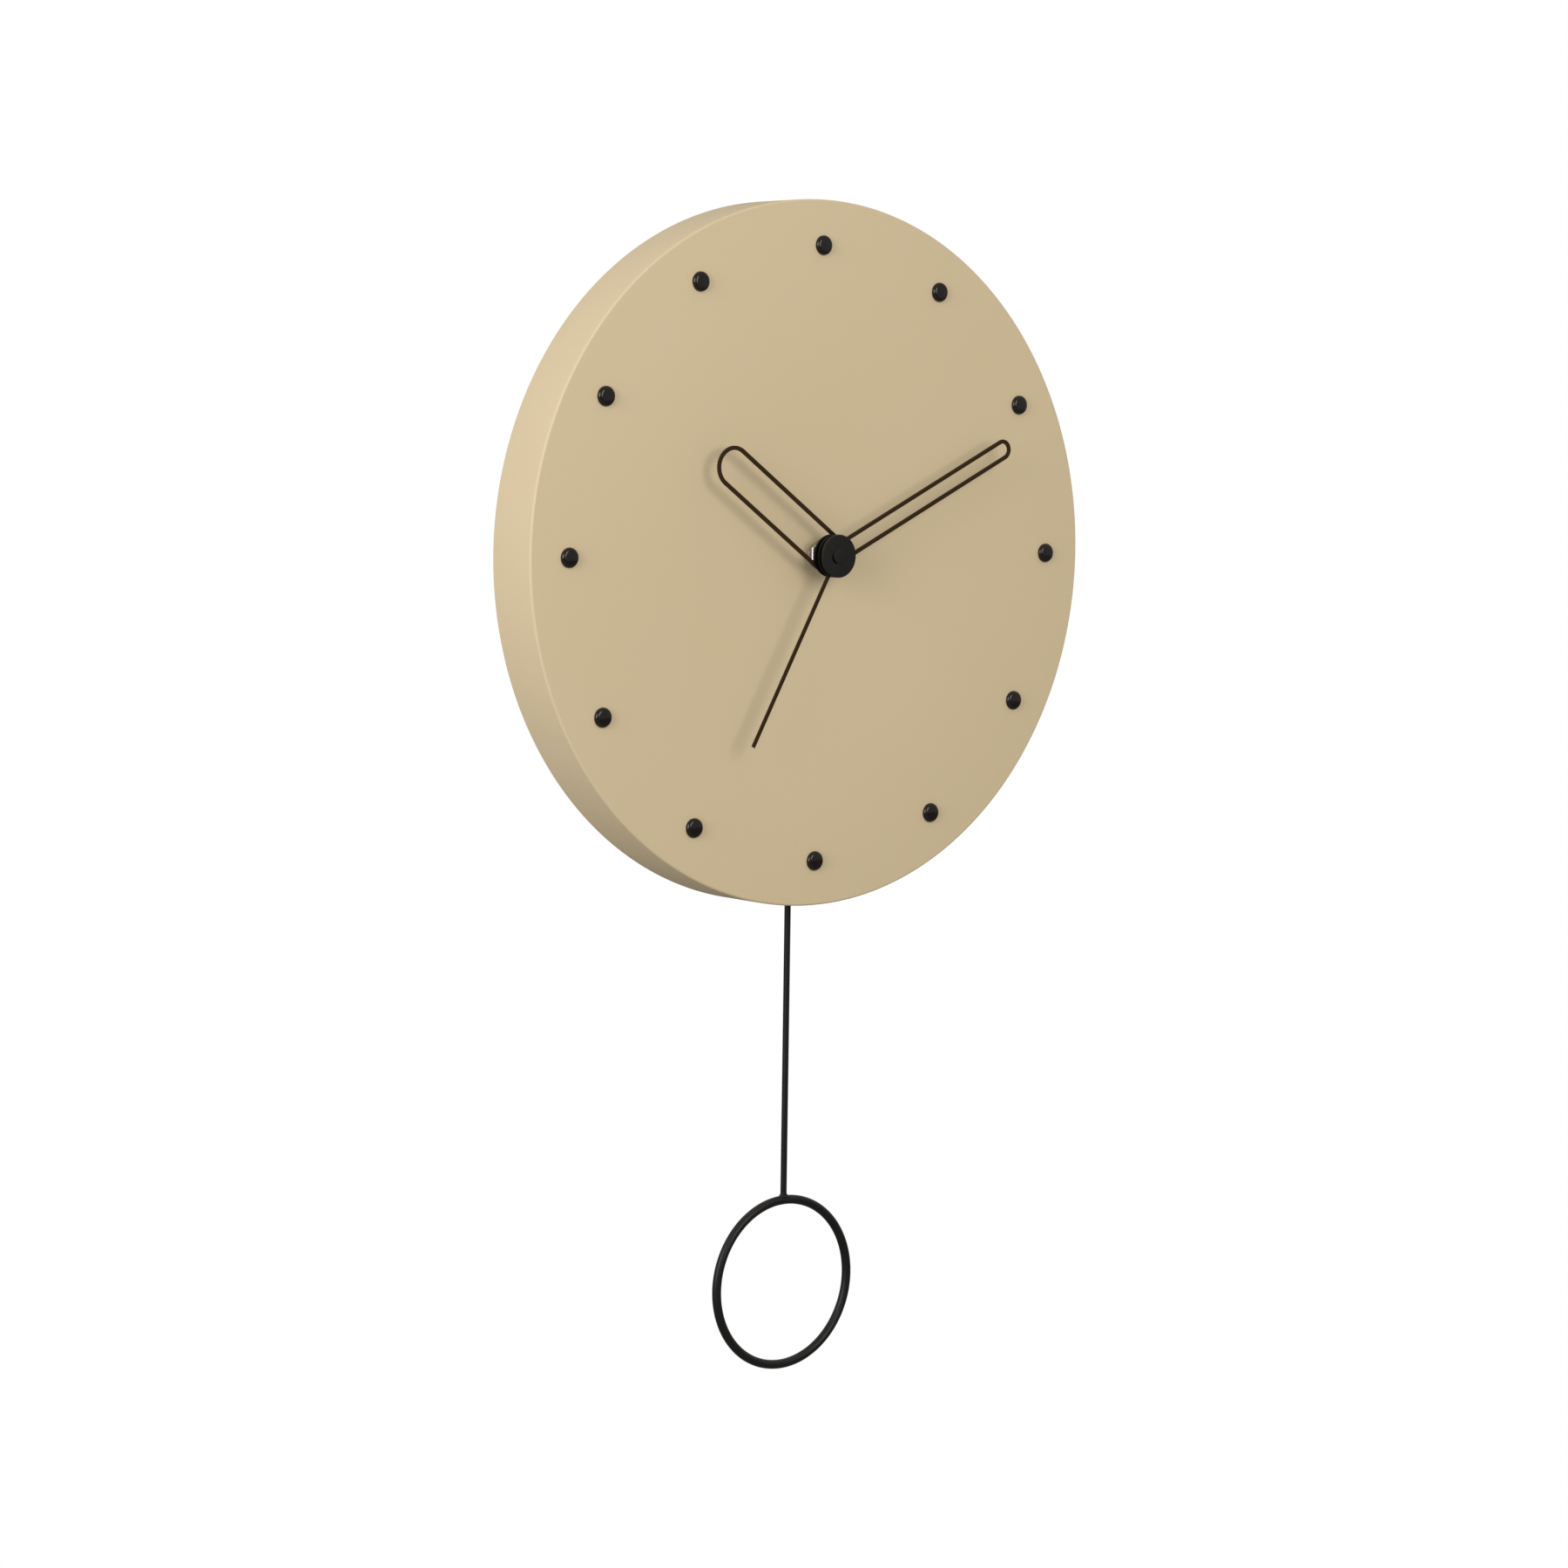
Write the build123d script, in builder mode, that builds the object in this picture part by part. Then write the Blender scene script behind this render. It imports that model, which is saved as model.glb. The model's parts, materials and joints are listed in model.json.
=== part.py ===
import os
from math import atan2, cos, degrees, dist, pi, radians, sin, tan

from build123d import *

os.makedirs("parts", exist_ok=True)

# Case, all lengths in millimetres
case_diameter = 250.0
sheet = 1.0  # pressed steel sheet
rim_edge_radius = 1.4  # outside of the bend round the dial
hem_width = 2.0  # sheet folded back on itself
hem_depth = 6.0
hem_edge = 0.5  # bevel on the folded edge
notch_depth = 13.0  # opening for the pendulum rod, measured from the wall
notch_corner_radius = 3.0
notch_height = 8.0  # cut taken upwards through the curved rim

# Hour markers
marker_count = 12
marker_inset = 16.0  # rim to the marker circle
stud_radius = 3.5
stud_height = 1.7
stud_edge_radius = 1.2
stud_shank_radius = 1.0
stud_tail_radius = 1.6
stud_tail = 0.5

# Clearances
running = 0.05  # a shaft in its bore, on the radius
axial = 0.1  # a shoulder beside its bearing
easy = 0.2  # a loose part in its recess

# Stack behind the dial, from the wall to the room
wall_gap = 0.6
knob_height = 2.4
knob_gap = 0.2
cover_thickness = 1.4
arm_rear_gap = 1.55
arm_thickness = 2.4
arm_front_gap = 0.6
plate_thickness = 1.0
wheel_gap = 0.45  # between neighbouring wheels
fast_wheel = 0.75  # thickness of the quick wheels
slow_wheel = 0.95  # thickness of the slow wheels
floor_thickness = 1.4  # front wall of the movement
gasket_thickness = 1.0
cover_rear = wall_gap + knob_height + knob_gap
shell_rear = cover_rear + cover_thickness
arm_rear = shell_rear + arm_rear_gap
arm_front = arm_rear + arm_thickness
plate_rear = arm_front + arm_front_gap
plate_front = plate_rear + plate_thickness
rotor_layer = plate_front + wheel_gap
second_layer = rotor_layer + fast_wheel + wheel_gap
third_layer = second_layer + fast_wheel + wheel_gap
minute_layer = third_layer + slow_wheel + wheel_gap
work_layer = minute_layer + slow_wheel + wheel_gap
hour_layer = work_layer + slow_wheel + wheel_gap
shell_floor = hour_layer + slow_wheel + wheel_gap
shell_front = shell_floor + floor_thickness
pan_inside = shell_front + gasket_thickness
case_depth = pan_inside + sheet

# Battery, a standard AA cell lying across the top bay
cell_radius = 7.25
cell_length = 50.5
cell_edge = 0.4
nub_radius = 2.75
nub_length = 1.0
cell_floor_gap = 0.15
cell_side_gap = 0.55
leaf = 0.4  # contact strip
leaf_room = 3.35  # end of the cell to the wall of the bay
leaf_flat_half = 1.5
leaf_inset = 0.85
leaf_fold = 1.6
leaf_tip_drop = 5.2
leaf_tip_back = 0.8
leaf_margin = 1.4

# Movement shell
shell_bottom = -32.0
shell_wall = 1.4
shell_top_wall = 3.0
shell_corner = 2.5
divider_bottom = 21.6
divider = 1.4
post_size = 5.0
peg_radius = 1.0
pivot_depth = 0.8
catch_half = 4.0
catch_z = -6.0
catch_leaf = 1.0
catch_reach = 3.2
catch_nose = 0.8
catch_start = 1.8
inner_half = cell_length / 2 + leaf_room
inner_bottom = shell_bottom + shell_wall
shell_half = inner_half + shell_wall
divider_top = divider_bottom + divider
cell_z = divider_top + cell_side_gap + cell_radius
cell_height = shell_floor - cell_floor_gap - cell_radius
bay_top = cell_z + cell_radius + cell_side_gap
shell_top = bay_top + shell_top_wall

# Rear cover
well_gap = 0.8  # knob to the ring moulded round it
well_wall = 1.0
well_height = 1.0
rib_width = 1.2
rib_height = 0.6
rib_inset = 4.0
rib_places = (-26.0, -17.0, 14.0)  # ribs across the cover, up from the dial centre

# Hanging point
nail_above_shell = 11.9
nail_rise = shell_top + nail_above_shell  # seat of the nail above the dial centre
dial_z = -nail_rise
tab_radius = 6.5  # round top of the hanger
tab_half = 9.0
bracket_sheet = 1.2
bracket_half = 12.0
bracket_reach = 14.0
bracket_overhang = 0.6  # behind the shell
bracket_corner = 0.4
entry_radius = 4.25
entry_drop = 6.0
neck_radius = 2.25
hanger_screw_radius = 1.1
hanger_screw_head = 2.1
hanger_screw_head_height = 1.2
hanger_screw_edge = 0.6
hanger_screw_offset = 6.0
hanger_screw_depth = 2.6
hanger_screw_inset = 8.0

# Coaxial tubes, each running in the next
second_shaft = 0.7
second_pin = 0.5
minute_wall = 1.1
minute_seat_step = 0.25
hour_wall = 0.9
hour_seat_step = 0.3
bush_wall = 1.1
minute_tube = second_shaft + running + minute_wall
minute_seat = minute_tube - minute_seat_step
hour_tube = minute_tube + running + hour_wall
hour_seat = hour_tube - hour_seat_step
bush_radius = hour_tube + running + bush_wall
arbor = 0.6
pivot = 0.4

# Bush, washer and nut
bush_flange_width = 2.05
bush_flange = 0.6
bush_stand = 4.6
washer_width = 1.45
washer_thickness = 0.5
nut_wall = 1.05
nut_height = 2.4
nut_chamfer = 0.4
gasket_radius = 14.0
bush_flange_radius = bush_radius + bush_flange_width
washer_radius = bush_radius + washer_width
nut_flats = 2 * (bush_radius + nut_wall)

# Hands
hand_strip = 1.3
hub_radius = 7.6
hour_width = 15.2
minute_width = 7.4
hour_reach = 61.1
minute_reach = 91.2
second_reach = 75.7
hour_angle = 305.2  # clockwise from twelve, in degrees
minute_angle = 64.2
second_angle = 209.0
blade = 0.8
second_blade = 0.6
collet_wall = 0.9
hour_collet = 1.0
minute_collet = 1.1
bush_to_hour = 0.7
hour_to_minute = 0.4
minute_to_second = 0.5
second_hub_radius = 3.0
cap_height = 1.1
cap_edge_radius = 0.3
cap_pip_radius = 2.7
cap_pip_height = 0.5
bush_front = case_depth + bush_stand
hour_collet_rear = bush_front + bush_to_hour
hour_blade_rear = hour_collet_rear + hour_collet
hour_blade_front = hour_blade_rear + blade
minute_collet_rear = hour_blade_front + hour_to_minute
minute_blade_rear = minute_collet_rear + minute_collet
minute_blade_front = minute_blade_rear + blade
second_blade_rear = minute_blade_front + minute_to_second
second_blade_front = second_blade_rear + second_blade

# Wheels, as teeth and module
second_teeth = 50
intermediate_pinion_teeth = 10
second_module = 0.42
intermediate_teeth = 48
rotor_teeth = 8
rotor_module = 0.36
third_teeth = 60
second_pinion_teeth = 8
third_module = 0.36
minute_teeth = 64
third_pinion_teeth = 8
minute_module = 0.34
cannon_teeth = 12
work_teeth = 36
work_module = 0.375
work_pinion_teeth = 10
hour_teeth = 40
hour_module = 0.36
tip_share = 0.2  # tooth width at its tip, as a share of the pitch
root_share = 0.62
addendum = 0.9
dedendum = 1.2


def along(start, reach, angle):
    return (start[0] + reach * cos(radians(angle)), start[1] + reach * sin(radians(angle)))


# Arbors, across and up from the dial centre
centre_arbor = (0.0, 0.0)
third_reach = third_module * (third_teeth + second_pinion_teeth) / 2
work_reach = work_module * (cannon_teeth + work_teeth) / 2
intermediate_reach = second_module * (second_teeth + intermediate_pinion_teeth) / 2
rotor_reach = rotor_module * (intermediate_teeth + rotor_teeth) / 2
third_bearing = 150.0  # anticlockwise from three, in degrees
work_bearing = 0.0
intermediate_bearing = 250.0
rotor_bearing = 340.0
third_arbor = along(centre_arbor, third_reach, third_bearing)
work_arbor = along(centre_arbor, work_reach, work_bearing)
setting_arbor = along(work_arbor, work_reach, work_bearing)
intermediate_arbor = along(centre_arbor, intermediate_reach, intermediate_bearing)
rotor_arbor = along(intermediate_arbor, rotor_reach, rotor_bearing)
work_post = 1.0
setting_shaft = 1.2
setting_pivot = 0.6
knob_radius = 5.5
knob_flutes = 12
knob_flute_radius = 0.7
knob_socket = 0.9  # back of the knob left solid

# Motor
magnet_radius = 3.0
magnet_bore = 0.9
magnet_overhang = 0.7
stator_hole = 3.5
stator_ring = 5.6
stator_arm = 4.0
stator_pin = 0.9
stator_post = 1.9
core_inset = 7.6  # middle of the core to the wall of the bay
core_low = -27.0
core_high = -6.5
core_sheet = 0.9
coil_width = 8.0
coil_thickness = 3.9
coil_corner = 1.4
coil_gap = 0.6
board_inset = 1.6
board_width = 13.0
board_low = -25.0
board_high = -4.0
board_thickness = 1.0
board_pad = 0.6
board_pad_width = 2.0
crystal_radius = 1.0
crystal_length = 6.0
crystal_inset = (3.0, 8.0)  # from the low outer corner of the board
chip_radius = 3.2
chip_height = 1.0
chip_edge = 0.6
chip_inset = (7.5, 15.5)
core_x = inner_half - core_inset
coil_margin = stator_arm / 2 + coil_gap
arm_elbow = core_x - coil_width / 2 - stator_arm / 2 - coil_gap
board_left = -inner_half + board_inset
board_right = board_left + board_width
crystal_place = (board_left + crystal_inset[0], board_low + crystal_inset[1])
chip_place = (board_left + chip_inset[0], board_low + chip_inset[1])

# Lightening holes in the wheels
web_holes = 5
web_hole_share = 0.58  # place along the wheel's pitch radius
web_hole_radius = 1.9

# Pendulum
pivot_z = 8.0
pivot_pin = 1.0
pin_socket = 0.8
swing_limit = 4.5  # each way, in degrees
arm_half = 2.5
arm_boss = 3.6
arm_end_drop = 4.0  # hook hole below the shell
cup_radius = 4.6
cup_z = -25.0
bob_magnet_radius = 3.0
bob_magnet_depth = 1.6
drive_coil_z = -26.0
drive_coil_radius = 4.2
drive_coil_length = 5.2
drive_coil_bore = 1.2
drive_coil_seat = 2.4
rod_radius = 1.0
rod_bend = 1.8
rod_front_end = 0.8
rod_bend_start = 6.0
rod_bend_length = 8.0
rod_height = 7.4
ring_radius = 30.4  # to the middle of the wire
ring_wire = 1.5
ring_drop = 139.35  # bottom of the case to the ring centre
weld_radius = 1.7
weld_height = 2.4
swing_gap = 1.0  # round the moving rod and arm

case_radius = case_diameter / 2
marker_radius = case_radius - marker_inset
ring_z = -case_radius - ring_drop
swing_share = tan(radians(swing_limit))
notch_half = (case_radius + pivot_z) * swing_share + rod_radius + swing_gap
arm_slot_half = (pivot_z - shell_bottom) * swing_share + arm_half + swing_gap
arm_end_z = shell_bottom - arm_end_drop
core_front = third_layer
core_rear = core_front - core_sheet


def from_wall(height):
    # across and up as seen from the room, this far in front of the wall, built towards the room
    return Plane(origin=(0, -height, dial_z), x_dir=(1, 0, 0), z_dir=(0, -1, 0))


def level(rise):
    # a flat plane this far above the dial centre, across and into the wall
    return Plane(origin=(0, 0, dial_z + rise), x_dir=(1, 0, 0), z_dir=(0, 0, 1))


def gear_points(teeth, module, turn):
    pitch = 2 * pi / teeth
    pitch_radius = module * teeth / 2
    tip = pitch_radius + addendum * module
    root = pitch_radius - dedendum * module
    corners = (
        (root, -root_share * pitch / 2),
        (tip, -tip_share * pitch / 2),
        (tip, tip_share * pitch / 2),
        (root, root_share * pitch / 2),
    )
    points = []
    for tooth in range(teeth):
        for radius, offset in corners:
            angle = turn + tooth * pitch + offset
            points.append((radius * cos(angle), radius * sin(angle)))
    return points


def bearing_angle(start, end):
    return atan2(end[1] - start[1], end[0] - start[0])


def gap_facing(start, end, teeth):
    return bearing_angle(start, end) + pi / teeth


def gear(teeth, module, turn):
    Polygon(*gear_points(teeth, module, turn), align=None)


def web_holes_in(teeth, module):
    with PolarLocations(web_hole_share * module * teeth / 2, web_holes):
        Circle(web_hole_radius, mode=Mode.SUBTRACT)


def strip_between(start, end, width, mode=Mode.ADD):
    middle = ((start[0] + end[0]) / 2, (start[1] + end[1]) / 2)
    with Locations(middle):
        SlotCenterToCenter(dist(start, end), width, rotation=degrees(bearing_angle(start, end)), mode=mode)


def block(left, right, low, high):
    with Locations(((left + right) / 2, (low + high) / 2)):
        Rectangle(right - left, high - low)


# Turn of each wheel about its arbor, so that all are in mesh
rotor_turn = gap_facing(rotor_arbor, intermediate_arbor, rotor_teeth)
intermediate_turn = bearing_angle(intermediate_arbor, rotor_arbor)
intermediate_pinion_turn = gap_facing(intermediate_arbor, centre_arbor, intermediate_pinion_teeth)
second_turn = bearing_angle(centre_arbor, intermediate_arbor)
second_pinion_turn = bearing_angle(centre_arbor, third_arbor)
third_turn = gap_facing(third_arbor, centre_arbor, third_teeth)
third_pinion_turn = bearing_angle(third_arbor, centre_arbor)
minute_turn = gap_facing(centre_arbor, third_arbor, minute_teeth)
cannon_turn = bearing_angle(centre_arbor, work_arbor)
work_turn = gap_facing(work_arbor, centre_arbor, work_teeth)
work_pinion_turn = bearing_angle(work_arbor, centre_arbor)
hour_turn = gap_facing(centre_arbor, work_arbor, hour_teeth)
setting_turn = bearing_angle(setting_arbor, work_arbor)

# Pressed case with a hemmed rear edge
with BuildPart() as case_pan:
    with BuildSketch(level(0)):
        with BuildLine():
            Polyline(
                (bush_radius + running, -case_depth),
                (case_radius, -case_depth),
                (case_radius, 0),
                (case_radius - hem_width, 0),
                (case_radius - hem_width, -hem_depth),
                (case_radius - sheet, -hem_depth),
                (case_radius - sheet, -pan_inside),
                (bush_radius + running, -pan_inside),
                close=True,
            )
        make_face()
        fillet(vertices().sort_by_distance((case_radius, -case_depth))[:1], rim_edge_radius)
        fillet(vertices().sort_by_distance((case_radius - sheet, -pan_inside))[:1], rim_edge_radius - sheet)
        chamfer(vertices().group_by(Axis.Y)[-1], hem_edge)
    revolve(axis=Axis((0, 0, dial_z), (0, 1, 0)))
    with BuildSketch(from_wall(pan_inside)):
        with PolarLocations(marker_radius, marker_count, 90):
            Circle(stud_shank_radius + running)
    extrude(amount=sheet, mode=Mode.SUBTRACT)
    with BuildSketch(level(-case_radius - sheet)):
        Rectangle(2 * notch_half, 2 * notch_depth)
        fillet(vertices().group_by(Axis.Y)[0], notch_corner_radius)
    extrude(amount=notch_height, mode=Mode.SUBTRACT)
case_pan.part.label = "case_pan"
export_step(case_pan.part, "parts/case_pan.step")

# Domed studs that mark the hours, riveted through the dial
with BuildPart() as hour_marker_studs:
    with BuildSketch(from_wall(case_depth)):
        with PolarLocations(marker_radius, marker_count, 90):
            Circle(stud_radius)
    extrude(amount=stud_height)
    fillet(edges().filter_by(GeomType.CIRCLE).group_by(Axis.Y)[0], stud_edge_radius)
    with BuildSketch(from_wall(pan_inside)):
        with PolarLocations(marker_radius, marker_count, 90):
            Circle(stud_shank_radius)
    extrude(amount=sheet)
    with BuildSketch(from_wall(pan_inside - stud_tail)):
        with PolarLocations(marker_radius, marker_count, 90):
            Circle(stud_tail_radius)
    extrude(amount=stud_tail)
hour_marker_studs.part.label = "hour_marker_studs"
export_step(hour_marker_studs.part, "parts/hour_marker_studs.step")

# Bush that carries the hand tubes, with its flange clamped behind the dial
with BuildPart() as threaded_bush:
    with BuildSketch(from_wall(shell_floor)):
        Circle(bush_radius)
    extrude(amount=bush_front - shell_floor)
    with BuildSketch(from_wall(shell_front - bush_flange)):
        Circle(bush_flange_radius)
    extrude(amount=bush_flange)
    with BuildSketch(from_wall(shell_floor)):
        Circle(hour_tube + running)
    extrude(amount=bush_front - shell_floor, mode=Mode.SUBTRACT)
    chamfer(edges().filter_by(GeomType.CIRCLE).group_by(Axis.Y)[0].sort_by(SortBy.RADIUS)[-1:], nut_chamfer)
threaded_bush.part.label = "threaded_bush"
export_step(threaded_bush.part, "parts/threaded_bush.step")

with BuildPart() as bush_washer:
    with BuildSketch(from_wall(case_depth)):
        Circle(washer_radius)
        Circle(bush_radius + running, mode=Mode.SUBTRACT)
    extrude(amount=washer_thickness)
bush_washer.part.label = "bush_washer"
export_step(bush_washer.part, "parts/bush_washer.step")

with BuildPart() as bush_nut:
    with BuildSketch(from_wall(case_depth + washer_thickness)):
        RegularPolygon(nut_flats / 2, 6, major_radius=False, rotation=30)
        Circle(bush_radius, mode=Mode.SUBTRACT)
    extrude(amount=nut_height)
    chamfer(edges().filter_by(GeomType.LINE).group_by(Axis.Y)[0], nut_chamfer)
bush_nut.part.label = "bush_nut"
export_step(bush_nut.part, "parts/bush_nut.step")

with BuildPart() as mounting_gasket:
    with BuildSketch(from_wall(shell_front)):
        Circle(gasket_radius)
        Circle(bush_radius + running, mode=Mode.SUBTRACT)
    extrude(amount=gasket_thickness)
mounting_gasket.part.label = "mounting_gasket"
export_step(mounting_gasket.part, "parts/mounting_gasket.step")

# Movement shell, open to the wall, with a gear bay below and a battery bay above
post_offset = inner_half - post_size / 2
post_low = inner_bottom + post_size / 2
post_high = divider_bottom - post_size / 2
post_places = (
    (-post_offset, post_low),
    (post_offset, post_low),
    (-post_offset, post_high),
    (post_offset, post_high),
)
stator_places = ((core_x, core_low), (core_x, core_high))
with BuildPart() as movement_shell:
    with BuildSketch(from_wall(shell_rear)):
        with Locations((0, (shell_top + shell_bottom) / 2)):
            RectangleRounded(2 * shell_half, shell_top - shell_bottom, shell_corner)
    extrude(amount=shell_front - shell_rear)
    with BuildSketch(from_wall(shell_rear)):
        block(-inner_half, inner_half, inner_bottom, divider_bottom)
        block(-inner_half, inner_half, divider_top, bay_top)
    extrude(amount=shell_floor - shell_rear, mode=Mode.SUBTRACT)
    with BuildSketch(from_wall(plate_front)):
        with Locations(*post_places):
            Rectangle(post_size, post_size)
    extrude(amount=shell_floor - plate_front)
    with BuildSketch(from_wall(plate_rear)):
        with Locations(*post_places):
            Circle(peg_radius)
    extrude(amount=plate_thickness)
    with BuildSketch(from_wall(work_layer - easy)):
        with Locations(work_arbor):
            Circle(work_post)
    extrude(amount=shell_floor - work_layer + easy)
    with BuildSketch(from_wall(third_layer + slow_wheel)):
        with Locations(*stator_places):
            Circle(stator_post)
    extrude(amount=shell_floor - third_layer - slow_wheel)
    with BuildSketch(from_wall(core_rear)):
        with Locations(*stator_places):
            Circle(stator_pin)
    extrude(amount=third_layer + slow_wheel - core_rear)
    with BuildSketch(from_wall(rotor_layer)):
        with Locations((0, drive_coil_z)):
            Circle(drive_coil_bore)
    extrude(amount=shell_floor - rotor_layer)
    with BuildSketch(from_wall(rotor_layer + drive_coil_length)):
        with Locations((0, drive_coil_z)):
            Circle(drive_coil_seat)
    extrude(amount=shell_floor - rotor_layer - drive_coil_length)
    with BuildSketch(from_wall(shell_floor - board_pad)):
        block(board_left, board_right, board_low, board_low + board_pad_width)
        block(board_left, board_right, board_high - board_pad_width, board_high)
    extrude(amount=board_pad)
    with BuildSketch(from_wall(shell_floor)):
        with Locations(third_arbor, intermediate_arbor, rotor_arbor):
            Circle(pivot + running)
        with Locations(setting_arbor):
            Circle(setting_pivot + running)
    extrude(amount=pivot_depth, mode=Mode.SUBTRACT)
    with BuildSketch(from_wall(shell_floor)):
        Circle(bush_radius)
    extrude(amount=floor_thickness, mode=Mode.SUBTRACT)
    with BuildSketch(from_wall(shell_front - bush_flange)):
        Circle(bush_flange_radius)
    extrude(amount=bush_flange, mode=Mode.SUBTRACT)
    with BuildSketch(from_wall(shell_rear)):
        block(-arm_slot_half, arm_slot_half, shell_bottom, inner_bottom)
    extrude(amount=plate_rear - shell_rear, mode=Mode.SUBTRACT)
    with BuildSketch(from_wall(shell_rear + catch_start - axial)):
        with Locations((0, catch_z)):
            Rectangle(2 * shell_half, 2 * (catch_half + easy))
            Rectangle(2 * inner_half, 2 * (catch_half + easy), mode=Mode.SUBTRACT)
    extrude(amount=catch_reach - catch_start + 2 * axial, mode=Mode.SUBTRACT)
    with BuildSketch(level(shell_top - hanger_screw_depth)):
        with Locations(
            (-hanger_screw_offset, -shell_rear - hanger_screw_inset),
            (hanger_screw_offset, -shell_rear - hanger_screw_inset),
        ):
            Circle(hanger_screw_radius)
    extrude(amount=hanger_screw_depth, mode=Mode.SUBTRACT)
movement_shell.part.label = "movement_shell"
export_step(movement_shell.part, "parts/movement_shell.step")

# Plate that closes the gear train, held on four pegs
with BuildPart() as train_plate:
    with BuildSketch(from_wall(plate_rear)):
        block(-inner_half + easy, inner_half - easy, inner_bottom + easy, divider_bottom - easy)
        with Locations(*post_places):
            Circle(peg_radius, mode=Mode.SUBTRACT)
        with Locations(third_arbor, intermediate_arbor, rotor_arbor):
            Circle(pivot + running, mode=Mode.SUBTRACT)
        Circle(second_pin + running, mode=Mode.SUBTRACT)
        with Locations(setting_arbor):
            Circle(setting_shaft + running, mode=Mode.SUBTRACT)
        with Locations((0, pivot_z)):
            Circle(pivot_pin, mode=Mode.SUBTRACT)
    extrude(amount=plate_thickness)
train_plate.part.label = "train_plate"
export_step(train_plate.part, "parts/train_plate.step")

# Rear cover with two spring catches
with BuildPart() as movement_cover:
    with BuildSketch(from_wall(cover_rear)):
        block(-shell_half, shell_half, shell_bottom, divider_bottom + divider / 2)
        fillet(vertices().group_by(Axis.Y)[0], shell_corner)
        with Locations(setting_arbor):
            Circle(setting_shaft + running, mode=Mode.SUBTRACT)
    extrude(amount=cover_thickness)
    with BuildSketch(from_wall(cover_rear - rib_height)):
        for place in rib_places:
            strip_between((-shell_half + rib_inset, place), (shell_half - rib_inset, place), rib_width)
    extrude(amount=rib_height)
    with BuildSketch(from_wall(cover_rear - well_height)):
        with Locations(setting_arbor):
            Circle(knob_radius + well_gap + well_wall)
            Circle(knob_radius + well_gap, mode=Mode.SUBTRACT)
    extrude(amount=well_height)
    with BuildSketch(from_wall(shell_rear - pin_socket)):
        with Locations((0, pivot_z)):
            Circle(pivot_pin)
    extrude(amount=pin_socket, mode=Mode.SUBTRACT)
    for side in (-1, 1):
        with BuildSketch(level(catch_z - catch_half)):
            with BuildLine():
                Polyline(
                    (side * (inner_half - catch_leaf), -shell_rear),
                    (side * inner_half, -shell_rear),
                    (side * inner_half, -shell_rear - catch_start),
                    (side * (inner_half + catch_nose), -shell_rear - catch_start),
                    (side * inner_half, -shell_rear - catch_reach),
                    (side * (inner_half - catch_leaf), -shell_rear - catch_reach),
                    close=True,
                )
            make_face()
        extrude(amount=2 * catch_half)
movement_cover.part.label = "movement_cover"
export_step(movement_cover.part, "parts/movement_cover.step")

# Steel hanger with the keyhole for a nail
bracket_rear = shell_rear - bracket_overhang
with BuildPart() as hanger_bracket:
    with BuildSketch(from_wall(bracket_rear)):
        with BuildLine():
            Polyline(
                (-tab_half, shell_top),
                (tab_half, shell_top),
                (tab_half, nail_rise + tab_radius),
                (-tab_half, nail_rise + tab_radius),
                close=True,
            )
        make_face()
        fillet(vertices().group_by(Axis.Y)[-1], tab_radius)
        with Locations((0, nail_rise - entry_drop)):
            Circle(entry_radius, mode=Mode.SUBTRACT)
        strip_between((0, nail_rise - entry_drop), (0, nail_rise), 2 * neck_radius, Mode.SUBTRACT)
    extrude(amount=bracket_sheet)
    with BuildSketch(level(shell_top)):
        block(-bracket_half, bracket_half, -bracket_rear - bracket_reach, -bracket_rear)
        with Locations(
            (-hanger_screw_offset, -shell_rear - hanger_screw_inset),
            (hanger_screw_offset, -shell_rear - hanger_screw_inset),
        ):
            Circle(hanger_screw_radius, mode=Mode.SUBTRACT)
    extrude(amount=bracket_sheet)
    fillet(edges().filter_by(Axis.Y).group_by(Axis.X)[0], bracket_corner)
    fillet(edges().filter_by(Axis.Y).group_by(Axis.X)[-1], bracket_corner)
hanger_bracket.part.label = "hanger_bracket"
export_step(hanger_bracket.part, "parts/hanger_bracket.step")

with BuildPart() as hanger_screws:
    with BuildSketch(level(shell_top - hanger_screw_depth)):
        with Locations(
            (-hanger_screw_offset, -shell_rear - hanger_screw_inset),
            (hanger_screw_offset, -shell_rear - hanger_screw_inset),
        ):
            Circle(hanger_screw_radius)
    extrude(amount=hanger_screw_depth + bracket_sheet)
    with BuildSketch(level(shell_top + bracket_sheet)):
        with Locations(
            (-hanger_screw_offset, -shell_rear - hanger_screw_inset),
            (hanger_screw_offset, -shell_rear - hanger_screw_inset),
        ):
            Circle(hanger_screw_head)
    extrude(amount=hanger_screw_head_height)
    chamfer(edges().filter_by(GeomType.CIRCLE).group_by(Axis.Z)[-1], hanger_screw_edge)
hanger_screws.part.label = "hanger_screws"
export_step(hanger_screws.part, "parts/hanger_screws.step")

# Motor
with BuildPart() as stator_plate:
    with BuildSketch(from_wall(third_layer)):
        with Locations(rotor_arbor):
            Circle(stator_ring)
        for place in stator_places:
            elbow = (arm_elbow, place[1])
            strip_between(rotor_arbor, elbow, stator_arm)
            strip_between(elbow, place, stator_arm)
        with Locations(rotor_arbor):
            Circle(stator_hole, mode=Mode.SUBTRACT)
        with Locations(*stator_places):
            Circle(stator_pin, mode=Mode.SUBTRACT)
    extrude(amount=slow_wheel)
stator_plate.part.label = "stator_plate"
export_step(stator_plate.part, "parts/stator_plate.step")

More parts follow.
